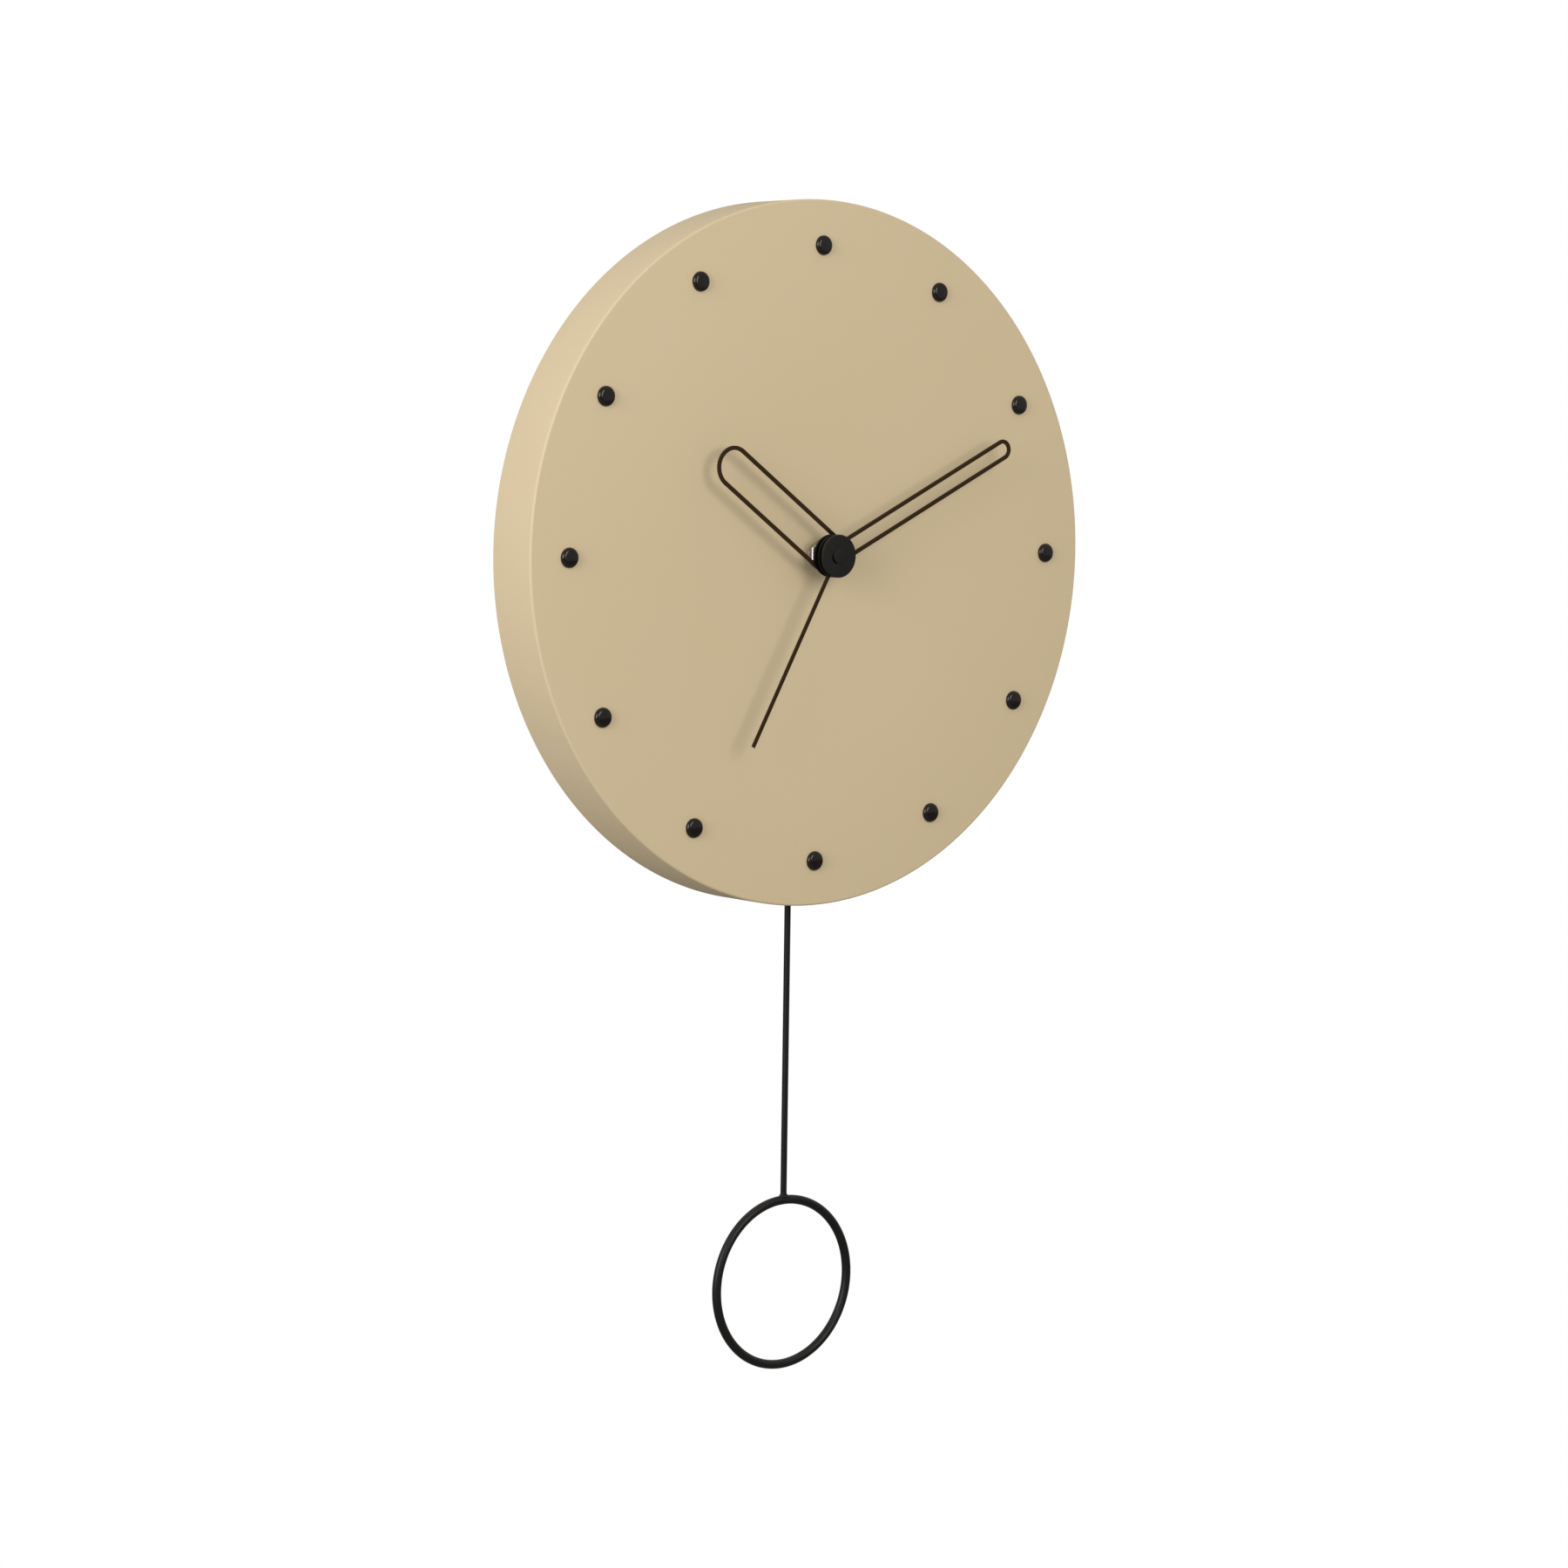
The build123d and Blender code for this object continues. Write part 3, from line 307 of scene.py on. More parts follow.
def objectSpot(tree):
    return tree.nodes.new("ShaderNodeTexCoord").outputs["Object"]


def mathNode(tree, operation, first, second, clamp=False):
    node = addNode(tree, "ShaderNodeMath", operation=operation, use_clamp=clamp)
    for socket, value in zip(node.inputs, (first, second)):
        feed(tree, socket, value)
    return node.outputs[0]


def noiseNode(tree, vector, scale, detail, rough):
    settings = {"Vector": vector, "Scale": scale, "Detail": detail, "Roughness": rough}
    return addNode(tree, "ShaderNodeTexNoise", **settings).outputs["Fac"]


def brokenMask(group, value, limit, cloud, amount):
    # how far a value is over its limit, broken up by a cloud
    over = mathNode(group, "SUBTRACT", value, limit["least"], clamp=True)
    raised = mathNode(group, "MULTIPLY", over, limit["gain"], clamp=True)
    broken = mathNode(group, "MULTIPLY", raised, cloud)
    return mathNode(group, "MULTIPLY", broken, amount, clamp=True)


powder = {"peelShare": 0.75, "speckShare": 0.25, "cloudScale": 9.0}
upFacing = {"least": 0.25, "gain": 1.33}
convexEdge = {"least": 0.52, "gain": 9.0}


def makePowderGrain():
    # orange peel and fine specks of a baked powder coat
    group, start = startGroup("powderGrain", {"Peel Scale": 700.0, "Speck Scale": 2600.0})
    spot = objectSpot(group)
    peel = noiseNode(group, spot, start["Peel Scale"], detail=2.0, rough=0.45)
    speck = noiseNode(group, spot, start["Speck Scale"], detail=1.0, rough=0.5)
    cloud = noiseNode(group, spot, powder["cloudScale"], detail=2.0, rough=0.5)
    peelHigh = mathNode(group, "MULTIPLY", peel, powder["peelShare"])
    speckHigh = mathNode(group, "MULTIPLY", speck, powder["speckShare"])
    high = mathNode(group, "ADD", peelHigh, speckHigh)
    return endGroup(group, {"Height": high, "Speck": speck, "Cloud": cloud})


def makeDustVeil():
    # faint settled dust where a surface faces up
    group, start = startGroup("dustVeil", {"Amount": 0.1, "Scale": 60.0})
    face = group.nodes.new("ShaderNodeNewGeometry").outputs["Normal"]
    up = addNode(group, "ShaderNodeSeparateXYZ", Vector=face).outputs["Z"]
    cloud = noiseNode(group, objectSpot(group), start["Scale"], detail=5.0, rough=0.62)
    mask = brokenMask(group, up, upFacing, cloud, start["Amount"])
    return endGroup(group, {"Mask": mask})


def makeTurnedGrain():
    # fine lines left round the axis by turning, rolling or drawing
    group, start = startGroup("turnedGrain", {"Along": 20.0, "Across": 2400.0, "Blotch": 70.0})
    spot = objectSpot(group)
    along = start["Along"]
    lengths = addNode(group, "ShaderNodeCombineXYZ", X=along, Y=start["Across"], Z=along)
    stretch = addNode(group, "ShaderNodeVectorMath", operation="MULTIPLY")
    group.links.new(spot, stretch.inputs[0])
    group.links.new(lengths.outputs[0], stretch.inputs[1])
    streak = noiseNode(group, stretch.outputs[0], 1.0, detail=3.0, rough=0.6)
    tone = noiseNode(group, spot, start["Blotch"], detail=4.0, rough=0.6)
    return endGroup(group, {"Streak": streak, "Tone": tone})


def makeMouldTexture():
    # spark-eroded mould surface with slow flow marks
    group, start = startGroup("mouldTexture", {"Grain Scale": 3000.0, "Flow Scale": 40.0})
    spot = objectSpot(group)
    fine = start["Grain Scale"]
    pits = addNode(group, "ShaderNodeTexVoronoi", feature="SMOOTH_F1", Vector=spot, Scale=fine)
    grain = noiseNode(group, spot, fine, detail=2.0, rough=0.55)
    flow = noiseNode(group, spot, start["Flow Scale"], detail=3.0, rough=0.5)
    both = mathNode(group, "ADD", pits.outputs["Distance"], grain)
    return endGroup(group, {"Height": mathNode(group, "MULTIPLY", both, 0.5), "Flow": flow})


def makeEdgeRub():
    # convex edges where a finish is rubbed thin and lightened; on the case this lighter edge is partly a
    # painted highlight
    group, start = startGroup("edgeRubAndHighlight", {"Amount": 0.5, "Break Scale": 300.0})
    sharp = group.nodes.new("ShaderNodeNewGeometry").outputs["Pointiness"]
    torn = noiseNode(group, objectSpot(group), start["Break Scale"], detail=4.0, rough=0.65)
    mask = brokenMask(group, sharp, convexEdge, torn, start["Amount"])
    return endGroup(group, {"Mask": mask})


powderGrain = makePowderGrain()
dustVeil = makeDustVeil()
turnedGrain = makeTurnedGrain()
mouldTexture = makeMouldTexture()
edgeRubAndHighlight = makeEdgeRub()
print("shader groups ready")


# finish helpers
def startFinish(name, metal, rough, colour):
    finish = bpy.data.materials.new(name)
    finish.use_nodes = True
    tree = finish.node_tree
    skin = tree.nodes["Principled BSDF"]
    for title, value in {"Metallic": metal, "Roughness": rough, "Base Color": colour}.items():
        feed(tree, skin.inputs[title], value)
    return finish, tree, skin


def placeGroup(tree, group, **values):
    return addNode(tree, "ShaderNodeGroup", node_tree=group, **values)


def blendColour(tree, mask, first, second):
    mix = addNode(tree, "ShaderNodeMix", data_type="RGBA")
    for index, value in ((0, mask), (6, first), (7, second)):
        feed(tree, mix.inputs[index], value)
    return mix.outputs[2]


def spread(tree, value, low, high, start=0.3, end=0.7):
    limits = {"From Min": start, "From Max": end, "To Min": low, "To Max": high}
    return addNode(tree, "ShaderNodeMapRange", Value=value, **limits).outputs[0]


def varyRough(tree, skin, value, rough, span, start=0.3, end=0.7):
    uneven = spread(tree, value, rough + span[0], rough + span[1], start, end)
    tree.links.new(uneven, skin.inputs["Roughness"])


def addBump(tree, skin, height, strength, depth):
    bump = addNode(tree, "ShaderNodeBump", Strength=strength, Distance=mm(depth), Height=height)
    tree.links.new(bump.outputs[0], skin.inputs["Normal"])


def bounceTintMask(tree, start, end):
    # painted bounce light from the dial: none on the hub discs, rising to full along the hands
    flat = addNode(tree, "ShaderNodeVectorMath", operation="MULTIPLY_ADD")
    flat.inputs[1].default_value = (1, 0, 1)
    flat.inputs[2].default_value = (0, 0, -dialZ)
    reach = addNode(tree, "ShaderNodeVectorMath", operation="LENGTH")
    tree.links.new(objectSpot(tree), flat.inputs[0])
    tree.links.new(flat.outputs[0], reach.inputs[0])
    return spread(tree, reach.outputs["Value"], 0.0, 1.0, mm(start), mm(end))


def twoTones(tree, mask, coat):
    return blendColour(tree, spread(tree, mask, 0.0, 1.0), coat["colour"], coat["second"])


def rubAndHighlightEdges(tree, tone, coat, kind):
    # lighter tone on convex edges: rubbed finish, and on the case's front edge partly a painted highlight
    rubAndHighlight = placeGroup(tree, edgeRubAndHighlight, Amount=coat["rubAndHighlight"], Break_Scale=kind["breakScale"])
    return blendColour(tree, rubAndHighlight.outputs["Mask"], tone, coat["edge"])


def endFinish(tree, skin, tone, coat, kind):
    # settled dust over the tone, and the shine of a finish that isn't metal
    dust = placeGroup(tree, dustVeil, Amount=coat["dust"], Scale=kind["dustScale"])
    dusty = blendColour(tree, dust.outputs["Mask"], tone, kind["dust"])
    tree.links.new(dusty, skin.inputs["Base Color"])
    if "shine" in coat:
        skin.inputs["Specular IOR Level"].default_value = coat["shine"]


paintCoat = {
    "dust": (0.55, 0.52, 0.48), "dustScale": 90.0, "breakScale": 500.0,
    "fleckFrom": (0.55, 0.8), "roughSpan": (-0.04, 0.05), "bumpDepth": 0.05,
}


def paintFinish(name, paint):
    # baked paint over metal: two close tones, orange peel, dust and edges rubbed thin, which on the case
    # also carry a painted highlight
    finish, tree, skin = startFinish(name, 0.0, paint["rough"], paint["colour"])
    grain = placeGroup(tree, powderGrain, Peel_Scale=paint["peel"], Speck_Scale=paint["speck"])
    tone = twoTones(tree, grain.outputs["Cloud"], paint)
    if "hub" in paint:
        # on the hands, the brown along the strips is painted bounce light from the tan dial, faded in over
        # the near-black hub tone that is the hands' own paint
        tone = blendColour(tree, bounceTintMask(tree, *paint["hubFade"]), paint["hub"], tone)
    flecks = spread(tree, grain.outputs["Speck"], 0.0, paint["fleckShare"], *paintCoat["fleckFrom"])
    flecked = blendColour(tree, flecks, tone, paint["fleck"])
    endFinish(tree, skin, rubAndHighlightEdges(tree, flecked, paint, paintCoat), paint, paintCoat)
    varyRough(tree, skin, grain.outputs["Cloud"], paint["rough"], paintCoat["roughSpan"])
    addBump(tree, skin, grain.outputs["Height"], paint["bump"], paintCoat["bumpDepth"])
    return finish


metalSkin = {
    "dust": (0.35, 0.33, 0.30), "dustScale": 140.0, "lineShare": 0.35, "toneShare": 0.6,
    "roughFrom": (0.5, 1.1), "roughSpan": (-0.06, 0.12), "bumpDepth": 0.01,
}


def metalFinish(name, metal):
    # bare or plated metal with grain lines, tone blotches and dust
    finish, tree, skin = startFinish(name, 1.0, metal["rough"], metal["colour"])
    scales = {"Along": metal["along"], "Across": metal["across"], "Blotch": metal["blotch"]}
    grain = placeGroup(tree, turnedGrain, **scales)
    streak = grain.outputs["Streak"]
    tone = twoTones(tree, grain.outputs["Tone"], metal)
    lined = blendColour(tree, spread(tree, streak, 0.0, metalSkin["lineShare"]), tone, metal["line"])
    endFinish(tree, skin, lined, metal, metalSkin)
    blotch = mathNode(tree, "MULTIPLY", grain.outputs["Tone"], metalSkin["toneShare"])
    uneven = mathNode(tree, "ADD", streak, blotch)
    varyRough(tree, skin, uneven, metal["rough"], metalSkin["roughSpan"], *metalSkin["roughFrom"])
    addBump(tree, skin, streak, metal["bump"], metalSkin["bumpDepth"])
    return finish


plasticSkin = {
    "dust": (0.42, 0.40, 0.37), "dustScale": 110.0, "breakScale": 400.0,
    "roughSpan": (-0.05, 0.05), "bumpDepth": 0.03,
}


def plasticFinish(name, plastic):
    # moulded plastic: eroded texture, flow marks, dust and polished edges
    finish, tree, skin = startFinish(name, 0.0, plastic["rough"], plastic["colour"])
    mould = placeGroup(tree, mouldTexture, Grain_Scale=plastic["grain"], Flow_Scale=plastic["flow"])
    tone = twoTones(tree, mould.outputs["Flow"], plastic)
    endFinish(tree, skin, rubAndHighlightEdges(tree, tone, plastic, plasticSkin), plastic, plasticSkin)
    varyRough(tree, skin, mould.outputs["Flow"], plastic["rough"], plasticSkin["roughSpan"])
    addBump(tree, skin, mould.outputs["Height"], plastic["bump"], plasticSkin["bumpDepth"])
    return finish


windingSkin = {
    "waves": {"Distortion": 0.6, "Detail": 1.0}, "grain": 60.0, "blotch": 260.0, "grooveShadeEnd": 0.6,
    "roughSpan": (-0.08, 0.1), "bump": 0.7, "bumpDepth": 0.05,
}


def windingFinish(name, wire):
    # enamelled copper laid in turns beside each other, with painted shade in the grooves between turns
    finish, tree, skin = startFinish(name, 1.0, wire["rough"], wire["colour"])
    waves = {"Vector": objectSpot(tree), "Scale": wire["pitch"], **windingSkin["waves"]}
    turns = addNode(tree, "ShaderNodeTexWave", bands_direction=wire["direction"], **waves)
    fine = windingSkin["grain"]
    grain = placeGroup(tree, turnedGrain, Along=fine, Across=fine, Blotch=windingSkin["blotch"])
    tone = twoTones(tree, grain.outputs["Tone"], wire)
    crest = spread(tree, turns.outputs["Fac"], 0.0, 1.0, 0.0, windingSkin["grooveShadeEnd"])
    # the dark tone between the crests is painted shade in the grooves between turns
    tree.links.new(blendColour(tree, crest, wire["grooveShade"], tone), skin.inputs["Base Color"])
    varyRough(tree, skin, grain.outputs["Tone"], wire["rough"], windingSkin["roughSpan"])
    addBump(tree, skin, turns.outputs["Fac"], windingSkin["bump"], windingSkin["bumpDepth"])
    return finish


jacketSkin = {
    "grain": 500.0, "blotch": 160.0, "toneShare": 0.18,
    "roughSpan": (-0.05, 0.08), "bump": 0.08, "bumpDepth": 0.02,
}


def jacketFinish(name, jacket):
    # printed film round a dry cell, plain bands only, bare steel at both ends
    finish, tree, skin = startFinish(name, 0.0, jacket["rough"], jacket["colour"])
    cellLow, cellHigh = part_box("battery_cell")
    split = addNode(tree, "ShaderNodeSeparateXYZ", Vector=objectSpot(tree))
    along = spread(tree, split.outputs["X"], 0.0, 1.0, cellLow.x, cellHigh.x)
    band = addNode(tree, "ShaderNodeValToRGB", Fac=along)
    band.color_ramp.interpolation = "CONSTANT"
    stops = band.color_ramp.elements
    stops[0].position = 0.0
    stops[0].color = (*jacket["steel"], 1.0)
    stops[1].position = jacket["filmStart"]
    stops[1].color = (*jacket["colour"], 1.0)
    for place, colour in jacket["bands"]:
        stop = stops.new(place)
        stop.color = (*colour, 1.0)
    fine = jacketSkin["grain"]
    grain = placeGroup(tree, turnedGrain, Along=fine, Across=fine, Blotch=jacketSkin["blotch"])
    blotch = spread(tree, grain.outputs["Tone"], 0.0, jacketSkin["toneShare"])
    shade = blendColour(tree, blotch, band.outputs["Color"], jacket["second"])
    tree.links.new(shade, skin.inputs["Base Color"])
    steelEnd = mathNode(tree, "LESS_THAN", along, jacket["filmStart"])
    steelNub = mathNode(tree, "GREATER_THAN", along, jacket["bands"][-1][0])
    tree.links.new(mathNode(tree, "MAXIMUM", steelEnd, steelNub), skin.inputs["Metallic"])
    varyRough(tree, skin, grain.outputs["Streak"], jacket["rough"], jacketSkin["roughSpan"])
    addBump(tree, skin, grain.outputs["Streak"], jacketSkin["bump"], jacketSkin["bumpDepth"])
    return finish


# the finishes, with scales in waves to the metre and the fade of the hands' painted bounce light in
# millimetres
finishes = {}
# the case's lighter edge tone is partly rubbed paint and partly a painted highlight along its front edge
finishes["case_paint"] = paintFinish("casePaint", {
    "colour": (0.596, 0.476, 0.292), "second": (0.588, 0.468, 0.283),
    "fleck": (0.64, 0.53, 0.35), "edge": (0.64, 0.53, 0.35),
    "fleckShare": 0.10, "rough": 0.58, "shine": 0.28, "peel": 900.0, "speck": 3000.0,
    "bump": 0.10, "dust": 0.05, "rubAndHighlight": 0.05,
})
# the hands' own paint is the near-black hub tone; the brown main and second tones along the strips are
# painted bounce light from the dial
finishes["hand_paint"] = paintFinish("handPaintBounceTint", {
    "colour": (0.029, 0.0155, 0.0058), "second": (0.032, 0.0175, 0.0072),
    "fleck": (0.05, 0.034, 0.02), "edge": (0.045, 0.03, 0.018),
    "hub": (0.0060, 0.0050, 0.0042), "hubFade": (7.8, 9.6),
    "fleckShare": 0.12, "rough": 0.48, "shine": 0.05, "peel": 1600.0, "speck": 5000.0,
    "bump": 0.08, "dust": 0.08, "rubAndHighlight": 0.25,
})
finishes["wire_black"] = paintFinish("wirePaint", {
    "colour": (0.0052, 0.0044, 0.0036), "second": (0.0070, 0.0060, 0.0050),
    "fleck": (0.026, 0.023, 0.020), "edge": (0.016, 0.014, 0.012),
    "fleckShare": 0.08, "rough": 0.38, "shine": 0.21, "peel": 1100.0, "speck": 3000.0,
    "bump": 0.06, "dust": 0.05, "rubAndHighlight": 0.10,
})
finishes["stud_black"] = plasticFinish("studGloss", {
    "colour": (0.0056, 0.0034, 0.0020), "second": (0.0070, 0.0044, 0.0028), "edge": (0.013, 0.011, 0.010),
    "rough": 0.12, "shine": 0.34, "grain": 1500.0, "flow": 150.0, "bump": 0.02, "dust": 0.04, "rubAndHighlight": 0.1,
})
finishes["cap_black"] = plasticFinish("capBlack", {
    "colour": (0.0080, 0.0060, 0.0052), "second": (0.0094, 0.0072, 0.0064), "edge": (0.022, 0.020, 0.020),
    "rough": 0.50, "shine": 0.17, "grain": 2600.0, "flow": 90.0, "bump": 0.12, "dust": 0.08, "rubAndHighlight": 0.25,
})
finishes["rubber"] = plasticFinish("rubberPad", {
    "colour": (0.020, 0.020, 0.020), "second": (0.028, 0.027, 0.026), "edge": (0.05, 0.05, 0.05),
    "rough": 0.82, "shine": 0.2, "grain": 2200.0, "flow": 120.0, "bump": 0.30, "dust": 0.25, "rubAndHighlight": 0.2,
})
finishes["movement_black"] = plasticFinish("movementBlack", {
    "colour": (0.018, 0.018, 0.019), "second": (0.023, 0.023, 0.024), "edge": (0.05, 0.05, 0.052),
    "rough": 0.50, "shine": 0.45, "grain": 3400.0, "flow": 45.0, "bump": 0.35, "dust": 0.22, "rubAndHighlight": 0.35,
})
finishes["movement_white"] = plasticFinish("movementWhite", {
    "colour": (0.74, 0.73, 0.68), "second": (0.70, 0.69, 0.63), "edge": (0.80, 0.79, 0.75),
    "rough": 0.42, "shine": 0.5, "grain": 3000.0, "flow": 60.0, "bump": 0.12, "dust": 0.12, "rubAndHighlight": 0.3,
})
finishes["gear_plastic"] = plasticFinish("gearPlastic", {
    "colour": (0.60, 0.63, 0.63), "second": (0.54, 0.57, 0.57), "edge": (0.72, 0.74, 0.74),
    "rough": 0.30, "shine": 0.5, "grain": 2600.0, "flow": 90.0, "bump": 0.05, "dust": 0.05, "rubAndHighlight": 0.3,
})
finishes["board"] = plasticFinish("solderMask", {
    "colour": (0.020, 0.085, 0.034), "second": (0.026, 0.10, 0.042), "edge": (0.40, 0.34, 0.20),
    "rough": 0.34, "shine": 0.5, "grain": 1200.0, "flow": 160.0, "bump": 0.10, "dust": 0.1, "rubAndHighlight": 0.4,
})
finishes["chip_resin"] = plasticFinish("chipResin", {
    "colour": (0.010, 0.010, 0.010), "second": (0.014, 0.014, 0.014), "edge": (0.03, 0.03, 0.03),
    "rough": 0.20, "shine": 0.5, "grain": 500.0, "flow": 300.0, "bump": 0.25, "dust": 0.05, "rubAndHighlight": 0.1,
})
finishes["nickel"] = metalFinish("nickelPlate", {
    "colour": (0.49, 0.46, 0.415), "second": (0.44, 0.41, 0.37), "line": (0.55, 0.53, 0.49),
    "rough": 0.29, "along": 30.0, "across": 1800.0, "blotch": 240.0, "bump": 0.10, "dust": 0.06,
})
finishes["brass"] = metalFinish("turnedBrass", {
    "colour": (0.70, 0.50, 0.20), "second": (0.60, 0.41, 0.15), "line": (0.80, 0.62, 0.30),
    "rough": 0.26, "along": 25.0, "across": 3200.0, "blotch": 180.0, "bump": 0.18, "dust": 0.05,
})
finishes["zinc_steel"] = metalFinish("zincPlate", {
    "colour": (0.53, 0.55, 0.57), "second": (0.46, 0.48, 0.51), "line": (0.62, 0.63, 0.62),
    "rough": 0.34, "along": 260.0, "across": 420.0, "blotch": 130.0, "bump": 0.10, "dust": 0.08,
})
finishes["iron"] = metalFinish("bareIron", {
    "colour": (0.38, 0.38, 0.39), "second": (0.30, 0.29, 0.28), "line": (0.48, 0.47, 0.46),
    "rough": 0.42, "along": 60.0, "across": 900.0, "blotch": 110.0, "bump": 0.15, "dust": 0.08,
})
finishes["spring_metal"] = metalFinish("springMetal", {
    "colour": (0.68, 0.66, 0.61), "second": (0.60, 0.58, 0.53), "line": (0.76, 0.75, 0.71),
    "rough": 0.22, "along": 40.0, "across": 1500.0, "blotch": 150.0, "bump": 0.08, "dust": 0.05,
})
finishes["magnet"] = metalFinish("sinteredMagnet", {
    "colour": (0.16, 0.155, 0.15), "second": (0.10, 0.10, 0.10), "line": (0.22, 0.21, 0.20),
    "rough": 0.55, "along": 900.0, "across": 900.0, "blotch": 500.0, "bump": 0.4, "dust": 0.1,
})
# its dark groove tone is painted shade between the turns
finishes["copper_winding"] = windingFinish("copperWinding", {
    "colour": (0.62, 0.24, 0.09), "second": (0.50, 0.17, 0.06), "grooveShade": (0.10, 0.03, 0.015),
    "rough": 0.32, "pitch": 1000.0, "direction": "Z",
})
finishes["cell_jacket"] = jacketFinish("cellJacket", {
    "colour": (0.30, 0.32, 0.34), "second": (0.36, 0.38, 0.40), "steel": (0.58, 0.57, 0.54),
    "rough": 0.27, "filmStart": 0.018,
    "bands": (
        (0.70, (0.05, 0.055, 0.06)),
        (0.74, (0.50, 0.52, 0.53)),
        (0.76, (0.05, 0.055, 0.06)),
        (0.955, (0.58, 0.57, 0.54)),
    ),
})
print("finishes ready:", len(finishes))

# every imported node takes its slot's finish
slotOf = {row["node"]: row["material_slot"] for row in frame["record"]["subparts"]}
for name, node in nodes.items():
    node.data.materials.clear()
    node.data.materials.append(finishes[slotOf[name]])

# pressed case with its rolled hem, and the notch in its rear rim for the rod
case = {
    "depth": 22.0, "sheet": 1.0, "edge": 0.8, "bore": 4.05, "boreEdge": 0.1,
    "hem": 2.0, "hemDepth": 6.0, "hemEdge": 0.5, "hemLip": 0.3, "segments": 320, "sharp": 40,
}
notch = {"half": 12.47, "depth": 13.0, "corner": 3.0, "height": 8.0}


def makeCase():
    inside = case["depth"] - case["sheet"]
    wall = caseRadius - case["sheet"]
    hemInside = caseRadius - case["hem"]
    corners = (
        (case["bore"], case["depth"], case["boreEdge"]),
        (caseRadius, case["depth"], case["edge"]),
        (caseRadius, 0.0, case["hemEdge"]),
        (hemInside, 0.0, case["hemEdge"]),
        (hemInside, case["hemDepth"], case["hemLip"]),
        (wall, case["hemDepth"], 0.0),
        (wall, inside, 0.0),
        (case["bore"], inside, case["boreEdge"]),
    )
    profile = roundCorners(corners, closed=True, steps=8)
    mesh = latheMesh(profile, fromWall(), case["segments"], closed=True, sharp=case["sharp"])
    piece = addPiece("casePan", mesh, "case", "case_paint", "case_pan")
    half = notch["half"]
    deep = notch["depth"]
    corner = notch["corner"]
    outline = ((-half, -deep, 0.0), (half, -deep, 0.0), (half, deep, corner), (-half, deep, corner))
    points = roundCorners(outline, closed=True, steps=10)
    work = bmesh.new()
    low = dialZ - mm(caseRadius + case["sheet"])
    face = work.faces.new([work.verts.new((mm(u), -mm(v), low)) for u, v in points])
    grown = bmesh.ops.extrude_face_region(work, geom=[face])
    lifted = [item for item in grown["geom"] if isinstance(item, bmesh.types.BMVert)]
    bmesh.ops.translate(work, verts=lifted, vec=(0, 0, mm(notch["height"])))
    cutAway(piece, cleanMesh(work, sharp=30))
    shadeByAngle(piece.data, case["sharp"])


makeCase()
print("case made")

# crowned studs that mark the hours, with their riveted tails
stud = {
    "count": 12, "circle": caseRadius - 16.0, "radius": 3.5, "height": 1.7, "crown": 0.12, "edge": 1.3,
    "undercut": 0.05, "shank": 1.0, "crownSteps": 8, "edgeSteps": 12, "segments": 48,
    "tail": ((1.6, 0.0), (1.6, 0.2), (1.2, 0.42), (0.5, 0.5), (0.0, 0.5)),  # radius and depth
}


def makeStuds():
    face = case["depth"]
    inside = face - case["sheet"]
    top = face + stud["height"]
    shoulder = top - stud["crown"]
    flat = stud["radius"] - stud["edge"]
    profile = [(0.0, top)]
    for step in range(1, stud["crownSteps"] + 1):
        share = step / stud["crownSteps"]
        profile.append((flat * share, top - stud["crown"] * share ** 2))
    profile += arcPoints((flat, shoulder - stud["edge"]), stud["edge"], 90, 0, stud["edgeSteps"])[1:]
    profile += [(stud["radius"] - stud["undercut"], face), (stud["shank"], face), (stud["shank"], inside)]
    profile += [(radius, inside - deep) for radius, deep in stud["tail"]]
    work = bmesh.new()
    for hour in range(stud["count"]):
        angle = 2 * math.pi * hour / stud["count"]
        spot = (stud["circle"] * math.sin(angle), stud["circle"] * math.cos(angle))
        addLathe(work, profile, fromWall(spot), stud["segments"], closed=False)
    addPiece("hourStuds", cleanMesh(work, sharp=50), "case", "stud_black", "hour_marker_studs")


makeStuds()
print("studs made")

# hands, flat stampings with rounded edges, their angles clockwise from twelve
hands = {
    "hub": 7.6, "strip": 1.5, "edge": 0.22, "hubSteps": 60, "tipSteps": 32, "windowSteps": 20,
    "boreCount": 48, "colletWall": 0.9, "colletEdges": (0.1, 0.15, 0.0, 0.0), "colletSegments": 48,
}
hourHand = {
    "reach": 61.1, "width": 14.85, "angle": 305.2, "rear": 28.3, "front": 29.1, "bore": 2.5, "collet": 27.3,
}
minuteHand = {
    "reach": 91.2, "width": 7.5, "angle": 64.2, "rear": 30.6, "front": 31.4, "bore": 1.6, "collet": 29.5,
}
secondHand = {
    "reach": 75.7, "width": 1.5, "angle": 209.0, "rear": 31.9, "front": 32.5, "bore": 0.5, "hub": 3.0,
    "edge": 0.16, "hubSteps": 48, "boreCount": 24,
}


def turned(points, angle):
    # from lying along three o'clock to an angle on the dial
    across, up = polarPoint((0, 0), 1, 90.0 - angle)
    return [(u * across - v * up, u * up + v * across) for u, v in points]


